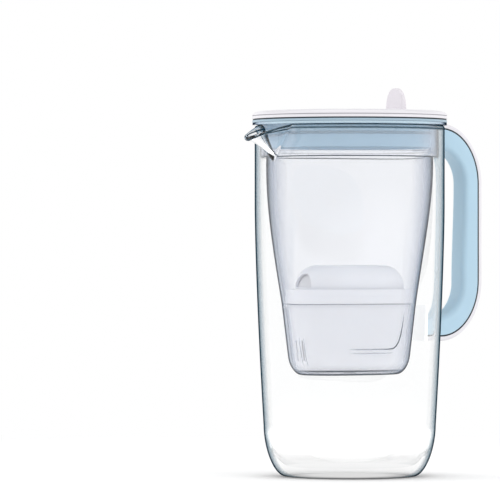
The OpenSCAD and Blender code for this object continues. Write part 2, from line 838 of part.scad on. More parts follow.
module flap() {
    color(soft_white) difference() {
        union() {
            translate([0, 0, flap_under]) linear_extrude(plate_t) flap_outline(0, 0);
            translate([0, 0, flap_bottom]) linear_extrude(flap_under - flap_bottom + eps)
                difference() {
                    flap_outline(0, 0);
                    flap_outline(-flap_wall, -flap_wall);
                }
            // Knuckle and the web that joins it to the flap
            translate([hinge_x, 0, hinge_z]) rotate([90, 0, 0])
                cylinder(r = knuckle_r, h = knuckle_w, center = true);
            translate([flap_back - cut, -knuckle_w / 2, flap_under])
                cube([knuckle_r + cut, knuckle_w, plate_t - web_drop]);
        }
        translate([hinge_x, 0, hinge_z]) rotate([90, 0, 0])
            cylinder(r = pin_r + pin_clearance, h = knuckle_w + 2 * cut, center = true);
        // Slot for the tongue of the thumb tab
        translate([tongue_x - snug, -tongue_w / 2 - snug, flap_under - cut])
            cube([tongue_t + 2 * snug, tongue_w + 2 * snug, plate_t + 2 * cut]);
    }
}

// ---- thumb tab ----

tab_power = 2.3;
tab_steps = 12;

module thumb_tab() {
    arch = [for (i = [0 : 2 * tab_steps]) let (a = 90 * i / tab_steps)
        oval_point(tab_w / 2, tab_h, tab_power, a)];
    color([0.89, 0.88, 0.9, 0.9]) union() {
        translate([tab_x, 0, plate_top + snug]) rotate([90, 0, 90]) linear_extrude(tab_t)
            polygon(arch);
        translate([tongue_x, -tongue_w / 2, plate_top + snug - tongue_h])
            cube([tongue_t, tongue_w, tongue_h + cut]);
    }
}

// ---- change indicator, under the flap beside the thumb tab ----

module indicator_case() {
    color(soft_white) translate([case_x, 0, case_bottom]) difference() {
        cylinder(r = case_r, h = case_h);
        translate([0, 0, -cut]) cylinder(r = case_r - case_wall, h = case_h - case_wall + cut);
    }
}

module indicator_cover() {
    slot = [12, 1.6, 0.8];
    color("silver") translate([case_x, 0, case_bottom]) difference() {
        cylinder(r = case_r - case_wall - snug, h = cover_t);
        translate([-slot[0] / 2, -slot[1] / 2, -eps]) cube(slot);
    }
}

module coin_cell() {
    color("silver") translate([case_x, 0, case_bottom + cover_t + snug])
        cylinder(r = cell_r, h = cell_t);
}

module indicator_board() {
    led = [1.6, 1.2, 0.5];
    led_inset = 3;
    low = case_bottom + cover_t + cell_t + 2 * snug;
    color([0.1, 0.4, 0.25]) union() {
        translate([case_x, 0, low]) cylinder(r = cell_r, h = board_t);
        translate([case_x + cell_r - led_inset - led[0], -led[1] / 2, low + board_t - eps])
            cube(led);
    }
}

glass_jug();
handle_upper_pad();
handle_lower_pad();
handle_grip();
handle_shell();
funnel_tank();
cartridge_cup();
cartridge_cap();
cartridge_top_mesh();
cartridge_bottom_mesh();
filter_granules();
lid_base();
lid_plate();
lid_seal();
hinge_pin();
flap();
thumb_tab();
indicator_case();
indicator_cover();
indicator_board();
coin_cell();
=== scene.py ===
"""Looks of a water filter pitcher with a flip lid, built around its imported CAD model.

Sizes are in millimetres until a mesh is made. Heights and radii come from the CAD nodes' boxes.
"""

import itertools
import math

import bmesh
import bpy
import numpy as np
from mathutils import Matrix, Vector


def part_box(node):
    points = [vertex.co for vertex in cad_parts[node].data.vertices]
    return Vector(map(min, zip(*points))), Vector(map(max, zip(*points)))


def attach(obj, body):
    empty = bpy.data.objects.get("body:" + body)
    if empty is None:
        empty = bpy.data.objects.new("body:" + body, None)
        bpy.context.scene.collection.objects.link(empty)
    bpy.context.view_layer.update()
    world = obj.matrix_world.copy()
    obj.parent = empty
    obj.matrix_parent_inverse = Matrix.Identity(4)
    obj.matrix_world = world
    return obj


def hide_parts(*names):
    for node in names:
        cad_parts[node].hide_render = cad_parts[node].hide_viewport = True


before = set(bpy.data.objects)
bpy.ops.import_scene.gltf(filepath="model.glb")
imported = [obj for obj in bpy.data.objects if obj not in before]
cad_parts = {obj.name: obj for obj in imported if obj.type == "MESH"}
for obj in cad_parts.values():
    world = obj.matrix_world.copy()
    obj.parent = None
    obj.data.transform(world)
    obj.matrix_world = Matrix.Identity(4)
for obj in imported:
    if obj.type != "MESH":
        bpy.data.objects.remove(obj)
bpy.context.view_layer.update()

MM = 0.001
scene = bpy.context.scene
scene.view_settings.view_transform = "Standard"


def box_mm(node):
    """Lowest and highest corner of a CAD node, in millimetres."""
    low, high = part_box(node)
    return np.array(low) / MM, np.array(high) / MM


# ---- camera, light and stage

VIEW_AZIMUTH = math.radians(-35)
CAMERA_DISTANCE = 3.188
CAMERA_AIM = Vector((-0.0578, 0.0405, 0.160))
FOCAL_LENGTH = 324


def new_object(name, data):
    piece = bpy.data.objects.new(name, data)
    scene.collection.objects.link(piece)
    return piece


def make_camera():
    data = bpy.data.cameras.new("camera")
    data.lens = FOCAL_LENGTH
    data.sensor_width = 36
    data.clip_start, data.clip_end = 0.1, 50
    camera = new_object("camera", data)
    ahead = Vector((-math.sin(VIEW_AZIMUTH), math.cos(VIEW_AZIMUTH), 0))
    camera.location = CAMERA_AIM - CAMERA_DISTANCE * ahead
    camera.rotation_euler = (math.pi / 2, 0, VIEW_AZIMUTH)
    scene.camera = camera


def add_lamp(name, place, size, power):
    """Square soft lamp at a place in metres, which looks at the middle of the pitcher."""
    data = bpy.data.lights.new(name, "AREA")
    data.size = size
    data.energy = power
    lamp = new_object(name, data)
    lamp.location = place
    lamp.rotation_euler = (Vector((0, 0, 0.14)) - Vector(place)).to_track_quat("-Z", "Y").to_euler()
    lamp.visible_glossy = False
    lamp.visible_transmission = False


def new_material(name):
    material = bpy.data.materials.new(name)
    material.use_nodes = True
    return material, material.node_tree, material.node_tree.nodes["Principled BSDF"]


def set_inputs(tree, node, inputs):
    """Sets a node's inputs, each to a value or to another node's output."""
    for name, value in inputs.items():
        if isinstance(value, bpy.types.NodeSocket):
            tree.links.new(value, node.inputs[name])
        else:
            node.inputs[name].default_value = value


def new_node(tree, kind, inputs=None):
    node = tree.nodes.new(kind)
    set_inputs(tree, node, inputs or {})
    return node


def math_node(tree, operation, first, second, clamp=False):
    node = new_node(tree, "ShaderNodeMath", {0: first, 1: second})
    node.operation, node.use_clamp = operation, clamp
    return node.outputs[0]


def map_range(tree, value, from_low, from_high, to_low, to_high):
    node = new_node(tree, "ShaderNodeMapRange", {
        "Value": value, "From Min": from_low, "From Max": from_high,
        "To Min": to_low, "To Max": to_high})
    node.interpolation_type = "SMOOTHSTEP"
    return node.outputs["Result"]


def mix_shaders(tree, share, first, second):
    """Shader that goes from the first to the second as share goes from 0 to 1."""
    return new_node(tree, "ShaderNodeMixShader", {0: share, 1: first, 2: second}).outputs["Shader"]


def set_surface(tree, shader):
    set_inputs(tree, tree.nodes["Material Output"], {"Surface": shader})


def distance_from(tree, place, point):
    node = new_node(tree, "ShaderNodeVectorMath", {0: place, 1: point})
    node.operation = "DISTANCE"
    return node.outputs["Value"]


def ray_kinds(tree):
    """Three outputs: 1 for camera rays, 1 for rays off a gloss, and 1 for rays through glass."""
    path = new_node(tree, "ShaderNodeLightPath").outputs
    return path["Is Camera Ray"], path["Is Glossy Ray"], path["Is Transmission Ray"]


# The dark band high up in the studio, as sines of its elevation, and how much it takes away
# from what gloss and clear walls show
BAND_LOW, BAND_HIGH, BAND_EDGE = 0.42, 0.80, 0.08
BAND_IN_GLOSS, BAND_IN_GLASS = 0.85, 0.30


def make_world():
    """Even white all round, and for glass and gloss a darker band high up, which draws the lines
    along rims and edges."""
    world = bpy.data.worlds.new("world")
    scene.world = world
    world.use_nodes = True
    tree = world.node_tree
    direction = new_node(tree, "ShaderNodeTexCoord").outputs["Generated"]
    up = new_node(tree, "ShaderNodeSeparateXYZ", {0: direction}).outputs["Z"]
    start = map_range(tree, up, BAND_LOW, BAND_LOW + BAND_EDGE, 0, 1)
    end = map_range(tree, up, BAND_HIGH, BAND_HIGH + BAND_EDGE, 0, 1)
    band = math_node(tree, "SUBTRACT", start, end)
    _, gloss_ray, glass_ray = ray_kinds(tree)
    taken = math_node(tree, "ADD", math_node(tree, "MULTIPLY", gloss_ray, BAND_IN_GLOSS),
                      math_node(tree, "MULTIPLY", glass_ray, BAND_IN_GLASS))
    level = math_node(tree, "SUBTRACT", 1, math_node(tree, "MULTIPLY", band, taken))
    set_inputs(tree, tree.nodes["Background"], {"Color": (1, 1, 1, 1), "Strength": level})


FLOOR_HALF = 6.0
FLOOR_Z = -0.0001
FLOOR_TONE = 0.9
# Distances from the pitcher at which the floor begins and ends to fade into the background
FADE_START, FADE_END = 0.12, 0.7
# White added to the floor as seen, and as seen through glass
FLOOR_LIFT, FLOOR_LIFT_IN_GLASS = 0.1, 0.75
# Painted light on the floor under the thick base, in place of the light the base throws there:
# its strength, its middle, which lies towards the back, and the distances from there at which
# it fades
PAINTED_BASE_LIGHT, PAINTED_BASE_LIGHT_START, PAINTED_BASE_LIGHT_END = 0.65, 0.024, 0.056
PAINTED_BASE_LIGHT_PLACE = (0.008, 0.012, 0)


def make_floor():
    mesh = bpy.data.meshes.new("floor")
    corners = [(x * FLOOR_HALF, y * FLOOR_HALF, FLOOR_Z)
               for x, y in ((-1, -1), (1, -1), (1, 1), (-1, 1))]
    mesh.from_pydata(corners, [], [(0, 1, 2, 3)])
    material, tree, shader = new_material("floor")
    camera_ray, gloss_ray, glass_ray = ray_kinds(tree)
    seen = math_node(tree, "ADD", math_node(tree, "ADD", camera_ray, gloss_ray), glass_ray, True)
    lift = math_node(tree, "MAXIMUM", math_node(tree, "MULTIPLY", seen, FLOOR_LIFT),
                     math_node(tree, "MULTIPLY", glass_ray, FLOOR_LIFT_IN_GLASS))
    place = new_node(tree, "ShaderNodeTexCoord").outputs["Object"]
    far = map_range(tree, distance_from(tree, place, (0, 0, 0)), FADE_START, FADE_END, 0, 1)
    # A painted pool of light on the floor under the base
    under = map_range(tree, distance_from(tree, place, PAINTED_BASE_LIGHT_PLACE),
                      PAINTED_BASE_LIGHT_START, PAINTED_BASE_LIGHT_END, PAINTED_BASE_LIGHT, 0)
    lift = math_node(tree, "ADD", lift, math_node(tree, "MULTIPLY", under, seen))
    set_inputs(tree, shader, {
        "Base Color": (FLOOR_TONE, FLOOR_TONE, FLOOR_TONE, 1), "Roughness": 1,
        "Specular IOR Level": 0, "Emission Color": (1, 1, 1, 1), "Emission Strength": lift})
    white = new_node(tree, "ShaderNodeEmission").outputs["Emission"]
    faded = math_node(tree, "MULTIPLY", far, seen)
    set_surface(tree, mix_shaders(tree, faded, shader.outputs["BSDF"], white))
    mesh.materials.append(material)
    new_object("floor", mesh)


make_camera()
make_world()
make_floor()
add_lamp("key_lamp", (1.2, -2.2, 1.3), 1.4, 9)
add_lamp("back_lamp", (-1.6, 1.6, 1.2), 1.2, 9)
add_lamp("top_lamp", (0.1, 0.0, 2.0), 1.6, 1)

# ---- materials


def texture(tree, kind, scale):
    """Texture in the piece's own space, scale waves to the metre."""
    place = new_node(tree, "ShaderNodeTexCoord").outputs["Object"]
    return new_node(tree, kind, {"Vector": place, "Scale": scale})


def noise(tree, scale, detail):
    node = texture(tree, "ShaderNodeTexNoise", scale)
    node.inputs["Detail"].default_value = detail
    return node.outputs["Fac"]


# Noise keeps between about these values
NOISE_LOW, NOISE_HIGH = 0.3, 0.7


def ramp(tree, value, low, high):
    """Maps a noise value to a colour or number between low and high."""
    if isinstance(low, (int, float)):
        return new_node(tree, "ShaderNodeMapRange", {
            "Value": value, "From Min": NOISE_LOW, "From Max": NOISE_HIGH,
            "To Min": low, "To Max": high}).outputs["Result"]
    node = new_node(tree, "ShaderNodeValToRGB", {"Fac": value})
    first, last = node.color_ramp.elements
    first.position, last.position = NOISE_LOW, NOISE_HIGH
    first.color, last.color = (*low, 1), (*high, 1)
    return node.outputs["Color"]


def add_bump(tree, shader, height, strength, distance):
    bump = new_node(tree, "ShaderNodeBump", {
        "Height": height, "Strength": strength, "Distance": distance})
    set_inputs(tree, shader, {"Normal": bump.outputs["Normal"]})


def linear(*srgb):
    """A colour given as sRGB numbers from 0 to 255, as the shader's own numbers."""
    return tuple(((c / 255 + 0.055) / 1.055) ** 2.4 if c > 10 else c / 255 / 12.92 for c in srgb)


# Darker end of a plastic's cloudiness, as a share of its colour
CLOUD_TONE = 0.97


def plastic(name, colour, roughness=(0.32, 0.42), grain=0.12, deep=0.0):
    """Moulded plastic: a faint cloudiness in its colour, uneven gloss and a fine satin grain. deep
    is how much light goes through its surface."""
    material, tree, shader = new_material(name)
    darker = tuple(c * CLOUD_TONE for c in colour)
    set_inputs(tree, shader, {"Base Color": ramp(tree, noise(tree, 35, 3), darker, colour),
                              "Roughness": ramp(tree, noise(tree, 160, 5), *roughness),
                              "IOR": 1.49})
    add_bump(tree, shader, noise(tree, 2600, 2), grain, 0.00004)
    if deep:
        set_inputs(tree, shader, {"Subsurface Weight": deep, "Subsurface Scale": 0.003,
                                  "Subsurface Radius": (1.0, 0.9, 0.8)})
    return material


# Colour of the painted dark outlines and edge lines
NAVY = (0.010, 0.034, 0.055)
# What light keeps through each clear wall, and through a plain part of one
CLEAR_SHADE, PLAIN_SHADE = 0.97, 0.2
# How far a normal points up or down where a surface stops counting as a wall, from all to none
WALL_TILT, LEVEL_TILT = 0.88, 0.99


def attribute(tree, name):
    """Value that the mesh keeps at its points, or 0."""
    node = new_node(tree, "ShaderNodeAttribute")
    node.attribute_name = name
    return node.outputs["Fac"]


def outlines(tree, edges, line, calm):
    """Dull layer of painted shade for the outlines and the edge lines, and its share at each place.
    """
    surface = new_node(tree, "ShaderNodeNewGeometry").outputs
    outside = math_node(tree, "SUBTRACT", 1, surface["Backfacing"])
    facing = new_node(tree, "ShaderNodeLayerWeight", {"Blend": 0.5}).outputs["Facing"]
    turn = math_node(tree, "MULTIPLY", facing, outside)
    turned = new_node(tree, "ShaderNodeValToRGB", {"Fac": turn})
    stops = turned.color_ramp.elements
    for position, _, _ in edges[1:-1]:
        stops.new(position)
    for stop, (position, tone, share) in zip(stops, edges):
        stop.position, stop.color = position, (*tone, share)
    up = new_node(tree, "ShaderNodeSeparateXYZ", {0: surface["Normal"]}).outputs["Z"]
    tilt = math_node(tree, "ABSOLUTE", up, 0)
    upright = map_range(tree, tilt, WALL_TILT, LEVEL_TILT, 1, 0)
    share = math_node(tree, "MULTIPLY", turned.outputs["Alpha"], upright)
    share = math_node(tree, "MULTIPLY", share, math_node(tree, "SUBTRACT", 1, calm))
    mix = new_node(tree, "ShaderNodeMix")
    mix.data_type = "RGBA"
    set_inputs(tree, mix, {"Factor": line, "A": turned.outputs["Color"], "B": (*NAVY, 1)})
    layer = new_node(tree, "ShaderNodeBsdfDiffuse", {"Color": mix.outputs["Result"]})
    return layer.outputs["BSDF"], math_node(tree, "MAXIMUM", share, line)


def see_through(name, colour, edges, ior, roughness=0.0, waves=0.0, haze=0.0, painted_light=0.0):
    """Clear glass or plastic. edges are (how far the surface turns away, colour, share) stops: a
    dull layer over the wall where it turns away, painted shade that stands for the dark outlines
    of a real wall, but not on level surfaces or where the mesh is calm. It also covers the mesh's
    painted dark edge lines. Where the mesh is plain, rays go straight through, and light for other
    surfaces does so everywhere. haze is a share of dull white in the body, and glow is white that
    the body gives off, painted light."""
    material, tree, shader = new_material(name)
    set_inputs(tree, shader, {
        "Base Color": (*colour, 1), "Transmission Weight": 1 - haze, "IOR": ior,
        "Roughness": roughness, "Emission Color": (1, 1, 1, 1), "Emission Strength": painted_light})
    if waves:
        add_bump(tree, shader, noise(tree, 14, 1), waves, 0.0004)
    line, calm, plain = (attribute(tree, kind) for kind in ("painted_dark_line", "calm", "plain"))
    tint = (CLEAR_SHADE, CLEAR_SHADE, CLEAR_SHADE, 1)
    clear = new_node(tree, "ShaderNodeBsdfTransparent", {"Color": tint})
    body = mix_shaders(tree, plain, shader.outputs["BSDF"], clear.outputs["BSDF"])
    layer, share = outlines(tree, edges, line, calm)
    wall = mix_shaders(tree, share, body, layer)
    kept = map_range(tree, plain, 0, 1, CLEAR_SHADE, PLAIN_SHADE)
    dim = new_node(tree, "ShaderNodeBsdfTransparent", {"Color": kept})
    path = new_node(tree, "ShaderNodeLightPath").outputs
    light_ray = math_node(tree, "MAXIMUM", path["Is Shadow Ray"], path["Is Diffuse Ray"])
    set_surface(tree, mix_shaders(tree, light_ray, wall, dim.outputs["BSDF"]))
    return material


def metal(name, colour, roughness):
    material, tree, shader = new_material(name)
    uneven = ramp(tree, noise(tree, 900, 3), roughness * 0.7, roughness * 1.3)
    set_inputs(tree, shader, {"Base Color": (*colour, 1), "Metallic": 1, "Roughness": uneven})
    add_bump(tree, shader, noise(tree, 3000, 2), 0.1, 0.00002)
    return material


# Scale at which a wave texture repeats once in a metre
WAVE_SCALE = 0.31


def woven(name, colour, pitch):
    """Fine woven mesh: crossed waves, pitch metres apart."""
    material, tree, shader = new_material(name)
    heights = []
    for direction in ("X", "Y"):
        wave = texture(tree, "ShaderNodeTexWave", WAVE_SCALE / pitch)
        wave.bands_direction = direction
        heights.append(wave.outputs["Fac"])
    threads = math_node(tree, "MULTIPLY", *heights)
    tones = ramp(tree, threads, colour, tuple(0.35 * c for c in colour))
    set_inputs(tree, shader, {"Base Color": tones, "Roughness": 0.7})
    add_bump(tree, shader, threads, 0.6, 0.0002)
    return material


def speckled(name, dark, light, scale):
    """Loose granules: cells of uneven colour."""
    material, tree, shader = new_material(name)
    cells = texture(tree, "ShaderNodeTexVoronoi", scale)
    grey = new_node(tree, "ShaderNodeRGBToBW", {"Color": cells.outputs["Color"]}).outputs["Val"]
    set_inputs(tree, shader, {"Base Color": ramp(tree, grey, dark, light), "Roughness": 0.6})
    add_bump(tree, shader, cells.outputs["Distance"], 0.8, 0.0006)
    return material


# The edges stops of these clear materials paint dark outlines where a wall turns away: painted
# shade for what a real wall refracts and reflects at its silhouette
GLASS = see_through(
    "clear_glass", (0.994, 0.997, 0.998),
    [(0.62, (0.35, 0.47, 0.55), 0), (0.70, (0.20, 0.30, 0.37), 0.52),
     (0.79, (0.09, 0.17, 0.22), 0.72), (0.85, NAVY, 1)],
    1.5, waves=0.12)
CLEAR_PLASTIC = see_through(
    "clear_plastic", (0.962, 0.967, 0.988),
    [(0.35, (0.50, 0.55, 0.68), 0), (0.64, (0.32, 0.38, 0.50), 0.5),
     (0.74, (0.10, 0.14, 0.20), 0.85), (0.80, (0.015, 0.025, 0.045), 1)],
    1.45, roughness=0.02, haze=0.03)
# The pads give off white, painted light that lightens them in the shade between handle and glass
RESIN = see_through(
    "clear_pad", (0.97, 0.98, 0.985), [(0.75, (0.5, 0.6, 0.68), 0), (0.95, (0.5, 0.58, 0.66), 0.3)],
    1.4, roughness=0.2, haze=0.85, painted_light=0.3)
FROSTED = see_through(
    "frosted_plastic", linear(232, 228, 233),
    [(0.60, linear(216, 214, 219), 0), (1.0, linear(200, 198, 203), 0.6)],
    1.45, roughness=0.5, haze=0.85)
LIGHT_BLUE = plastic("light_blue_plastic", linear(184, 214, 232), deep=0.15)
# Darker copies of the light blue plastic for the lid's ring and skirt, as painted shade
SHADED_RING_BLUE = plastic("shaded_ring_plastic", linear(164, 188, 203))
SHADED_SKIRT_BLUE = plastic("shaded_skirt_plastic", linear(158, 194, 219))
# Pale blue of painted light inside the clear flange, over the shade it shows
FLANGE_PAINTED_LIGHT = plastic("flange_painted_light", linear(192, 216, 229))
WHITE = plastic("white_plastic", linear(234, 232, 237), roughness=(0.28, 0.36))
CARTRIDGE = plastic("cartridge_plastic", linear(241, 243, 250), roughness=(0.35, 0.45), deep=0.2)
WINDOW_MESH = plastic("window_mesh", linear(216, 217, 222))
SEAL = plastic("seal_rubber", linear(128, 157, 180), roughness=(0.5, 0.6))
# Grey of the painted shade in the lid cover's groove
GROOVE_SHADOW = plastic("groove_shadow", linear(168, 166, 172), roughness=(0.5, 0.6))
# Near black for strips of painted shadow in gaps and joints
SEAM_SHADOW = plastic("seam_shadow", (0.015, 0.022, 0.03), roughness=(0.6, 0.7))
COVER = plastic("cover_plastic", linear(150, 153, 157), roughness=(0.4, 0.5))
BOARD = plastic("circuit_board", (0.02, 0.13, 0.06), roughness=(0.25, 0.35))
STEEL = metal("pin_steel", (0.6, 0.6, 0.62), 0.25)
CELL = metal("cell_steel", (0.68, 0.68, 0.68), 0.3)
MESH = woven("filter_mesh", (0.86, 0.87, 0.88), 0.0008)
GRANULES = speckled("granules", (0.012, 0.011, 0.01), (0.28, 0.25, 0.2), 900)

# ---- mesh tools

# Degrees from which edges are sharp in shading, and from which they are bevelled
SHARP, BEVELLED = 35, 40


def new_mesh(name, points, faces):
    """Mesh from points in millimetres, with its faces turned outwards."""
    mesh = bpy.data.meshes.new(name)
    mesh.from_pydata([tuple(p) for p in np.asarray(points, float) * MM], [], faces)
    work = bmesh.new()
    work.from_mesh(mesh)
    bmesh.ops.recalc_face_normals(work, faces=work.faces)
    work.to_mesh(mesh)
    work.free()
    return mesh


def shade(mesh, sharp):
    """Smooth shading, but for edges of more than sharp degrees."""
    mesh.shade_smooth()
    mesh.set_sharp_from_angle(angle=math.radians(sharp))


def add_piece(name, points, faces, material, body, slot, *nodes, sharp=SHARP):
    """Piece from points in millimetres, which rides on a body and stands for CAD nodes."""
    mesh = new_mesh(name, points, faces)
    shade(mesh, sharp)
    piece = new_object(name, mesh)
    mesh.materials.append(material)
    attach(piece, body)
    if nodes:
        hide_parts(*nodes)
    return piece


def bevel(piece, width, segments=2):
    """Rounds the piece's sharp edges; width in millimetres."""
    modifier = piece.modifiers.new("bevel", "BEVEL")
    modifier.width = width * MM
    modifier.segments = segments
    modifier.limit_method = "ANGLE"
    modifier.angle_limit = math.radians(BEVELLED)
    modifier.use_clamp_overlap = True
    weighted = piece.modifiers.new("normals", "WEIGHTED_NORMAL")
    weighted.keep_sharp = False


def ring_faces(rows, cols, first=0, close_rows=False):
    """Quads between neighbouring rings of cols points each."""
    faces = []
    for k in range(rows if close_rows else rows - 1):
        a, b = first + k * cols, first + ((k + 1) % rows) * cols
        for i in range(cols):
            j = (i + 1) % cols
            faces.append((a + i, a + j, b + j, b + i))
    return faces


def fan_faces(centre, first, cols):
    """Triangles from a centre point to the ring that starts at first."""
    return [(centre, first + i, first + (i + 1) % cols) for i in range(cols)]


def bowl_faces(rows, cols):
    """Faces of rings, closed by the two centre points that follow them."""
    count = rows * cols
    fans = fan_faces(count, 0, cols) + fan_faces(count + 1, count - cols, cols)
    return ring_faces(rows, cols) + fans


def end_faces(rows, cols):
    """One flat face over the first ring and one over the last."""
    count = rows * cols
    return [tuple(range(cols - 1, -1, -1)), tuple(range(count - cols, count))]


COLS = 240
ANGLES = np.arange(COLS) * 2 * math.pi / COLS
TINY = 1e-6
CORNER_POWER = 70


def soft_min(*radii):
    """Smallest of several radii at each angle, with slightly rounded corners."""
    return sum(np.power(r, -float(CORNER_POWER)) for r in radii) ** (-1 / CORNER_POWER)


def circle(r):
    return np.full(COLS, float(r))


def flat_disc(r, flat):
    """Circle with one flat side, at x = -flat."""
    return soft_min(circle(r), flat / np.maximum(-np.cos(ANGLES), TINY))


def oval(u, v, power):
    along, across = np.abs(np.cos(ANGLES) / u), np.abs(np.sin(ANGLES) / v)
    return (along ** power + across ** power) ** (-1 / power)


def ring(radius, z, line=0):
    """Points of a level; line, which hoop reads, is how dark a painted edge line it carries."""
    height = np.full(COLS, float(z))
    return np.column_stack([radius * np.cos(ANGLES), radius * np.sin(ANGLES), height])


def hoop(name, rings, *rest, **options):
    """Closed hoop: neighbouring rings are joined, and the last to the first."""
    points = np.vstack([ring(*r) for r in rings])
    piece = add_piece(name, points, ring_faces(len(rings), COLS, close_rows=True), *rest, **options)
    mark(piece, "painted_dark_line", np.repeat([r[2] if len(r) > 2 else 0 for r in rings], COLS))
    return piece


def band(name, near_r, far_r, low, high, *rest):
    """Round hoop between two radii and two heights."""
    near, far = circle(near_r), circle(far_r)
    hoop(name, [(near, low), (far, low), (far, high), (near, high)], *rest)


def mark(piece, name, values):
    """Keeps a value at each point of the piece, which see_through reads."""
    if np.any(values):
        layer = piece.data.attributes.new(name, "FLOAT", "POINT")
        layer.data.foreach_set("value", np.asarray(values, np.float32))


def bowl_points(rings):
    """Points and faces of rings closed by a centre point at each end."""
    rows = [ring(*r) for r in rings]
    points = np.vstack(rows + [[[0, 0, rings[0][1]]], [[0, 0, rings[-1][1]]]])
    return points, bowl_faces(len(rings), COLS)


BLOCK_FACES = [(0, 1, 3, 2), (4, 6, 7, 5), (0, 4, 5, 1), (2, 3, 7, 6), (0, 2, 6, 4), (1, 5, 7, 3)]


def block(low, high):
    """Points and faces of a box."""
    return np.array(list(itertools.product(*zip(low, high))), float), BLOCK_FACES


def upright_block(x, y, half_x, half_y, z_low, z_high):
    """Box round an upright axis at x and y."""
    return block((x - half_x, y - half_y, z_low), (x + half_x, y + half_y, z_high))


def merge(*parts):
    """Several (points, faces) as one."""
    points, faces, base = [], [], 0
    for p, f in parts:
        points.append(np.asarray(p, float))
        faces += [tuple(i + base for i in face) for face in f]
        base += len(p)
    return np.vstack(points), faces


def prism(outline, direction, start, end):
    """Outline of 2-D points extruded along X, Y or Z between start and end."""
    axis = "XYZ".index(direction)
    others = [i for i in range(3) if i != axis]
    points = np.zeros((2 * len(outline), 3))
    for k, level in enumerate((start, end)):
        rows = slice(k * len(outline), (k + 1) * len(outline))
        points[rows, axis] = level
        points[rows, others[0]] = [p[0] for p in outline]
        points[rows, others[1]] = [p[1] for p in outline]
    n = len(outline)
    walls = [(i, (i + 1) % n, n + (i + 1) % n, n + i) for i in range(n)]
    return points, walls + end_faces(2, n)


def cut_away(piece, points, faces, name):
    """Cuts a closed shape out of a piece, into its mesh."""
    cutter = new_object(name, new_mesh(name, points, faces))
    modifier = piece.modifiers.new(name, "BOOLEAN")
    modifier.operation = "DIFFERENCE"
    modifier.solver = "EXACT"
    modifier.object = cutter
    graph = bpy.context.evaluated_depsgraph_get()
    graph.update()
    piece.data = bpy.data.meshes.new_from_object(piece.evaluated_get(graph), depsgraph=graph)
    piece.modifiers.clear()
    bpy.data.objects.remove(cutter)
    shade(piece.data, SHARP)


def smooth_step(s):
    s = np.clip(s, 0, 1)
    return s * s * (3 - 2 * s)


# ---- glass jug

JUG_LOW, JUG_HIGH = box_mm("glass_jug")
RIM_Z = JUG_HIGH[2]
MOUTH_R = JUG_HIGH[1]
WALL = 3.2
FLOOR_T = 7
TAPER_TOP = 190
TAPER_DROP = 6.3
TAPER_POWER = 1.45
HEEL_H = 36
HEEL_W = 15
HEEL_POWER = 1.8
INNER_HEEL_POWER = 1.9
FOOT_R = MOUTH_R - TAPER_DROP - HEEL_W
INNER_FOOT_R = FOOT_R - 4
# The hollow under the foot: its height, where its edge begins as a share of the foot, how wide
# the edge is, and its rows
PUNT_H, PUNT_EDGE, PUNT_EDGE_W, PUNT_ROWS = 1.3, 0.55, 0.38, 12
RIM_ROWS = 9
JUG_COLS, SPOUT_CROWDING = 264, 0.34
SPOUT_REACH = -JUG_LOW[0] - MOUTH_R
SPOUT_HALF_W = 17.8
SPOUT_H = 25
SPOUT_DROP = 12
LIP_T = 3
FOLD_SOFTNESS = 0.16
DROP_SOFTNESS = FOLD_SOFTNESS * 1.4
# Heights between which the wall is pulled out
SPOUT_START, WALL_TOP = RIM_Z - SPOUT_H - 1.5, RIM_Z - WALL / 2
# Half width of the spout at its lowest, width of its inside as a share, and a place off the spout
LEAST_HALF_W, INSIDE_W, OFF_SPOUT = 1.2, 0.853, 9
# How full the spout stays across its width: of its reach, and of its drop
REACH_POWER, DROP_POWER = 2.3, 1.6
# How much less of the painted dark outlines the inner wall and the spout get than the outer wall
INNER_CALM, SPOUT_CALM = 0.85, 0.7
# The thick base lets light straight through below one height and bends it fully above the other
PLAIN_BELOW, REFRACTS_ABOVE = 10, 24
# Edge lines of painted shade: how dark under the rim and on the foot, and how high the
# foot's line reaches
UNDER_RIM_PAINTED_LINE, FOOT_PAINTED_LINE, FOOT_PAINTED_LINE_H = 0.9, 0.08, 0.6


def side_r(z):
    drop = np.clip((TAPER_TOP - z) / (TAPER_TOP - HEEL_H), 0, None)
    return MOUTH_R - TAPER_DROP * drop ** TAPER_POWER


def heel_curve(z, low, foot_r, width, power):
    share = np.clip((HEEL_H - z) / (HEEL_H - low), 0, 1)
    return foot_r + width * (1 - share ** power) ** (1 / power)


def outer_r(z):
    return side_r(z) if z >= HEEL_H else heel_curve(z, 0, FOOT_R, HEEL_W, HEEL_POWER)


def inner_r(z):
    if z >= HEEL_H:
        return side_r(z) - WALL
    width = HEEL_W + FOOT_R - INNER_FOOT_R - WALL
    return heel_curve(z, FLOOR_T, INNER_FOOT_R, width, INNER_HEEL_POWER)


def rounded_positive(q, softness):
    """q where it is positive and 0 elsewhere, with a rounded corner between."""
    blend = (q + softness) ** 2 / (4 * softness)
    return np.where(q > softness, q, np.where(q < -softness, 0, blend))


def spout_out(v):
    """How far the ridge of the spout stands out at height v, from 0 at the folds' end to 1."""
    reach, turn = SPOUT_REACH - LIP_T / 2, v * math.pi / 2
    return reach * (0.45 * np.sin(turn) + 0.55 * (1 - np.cos(turn)))


def ridge_height(v):
    return RIM_Z - SPOUT_H + (SPOUT_H - SPOUT_DROP) * math.sin(v * math.pi / 2)


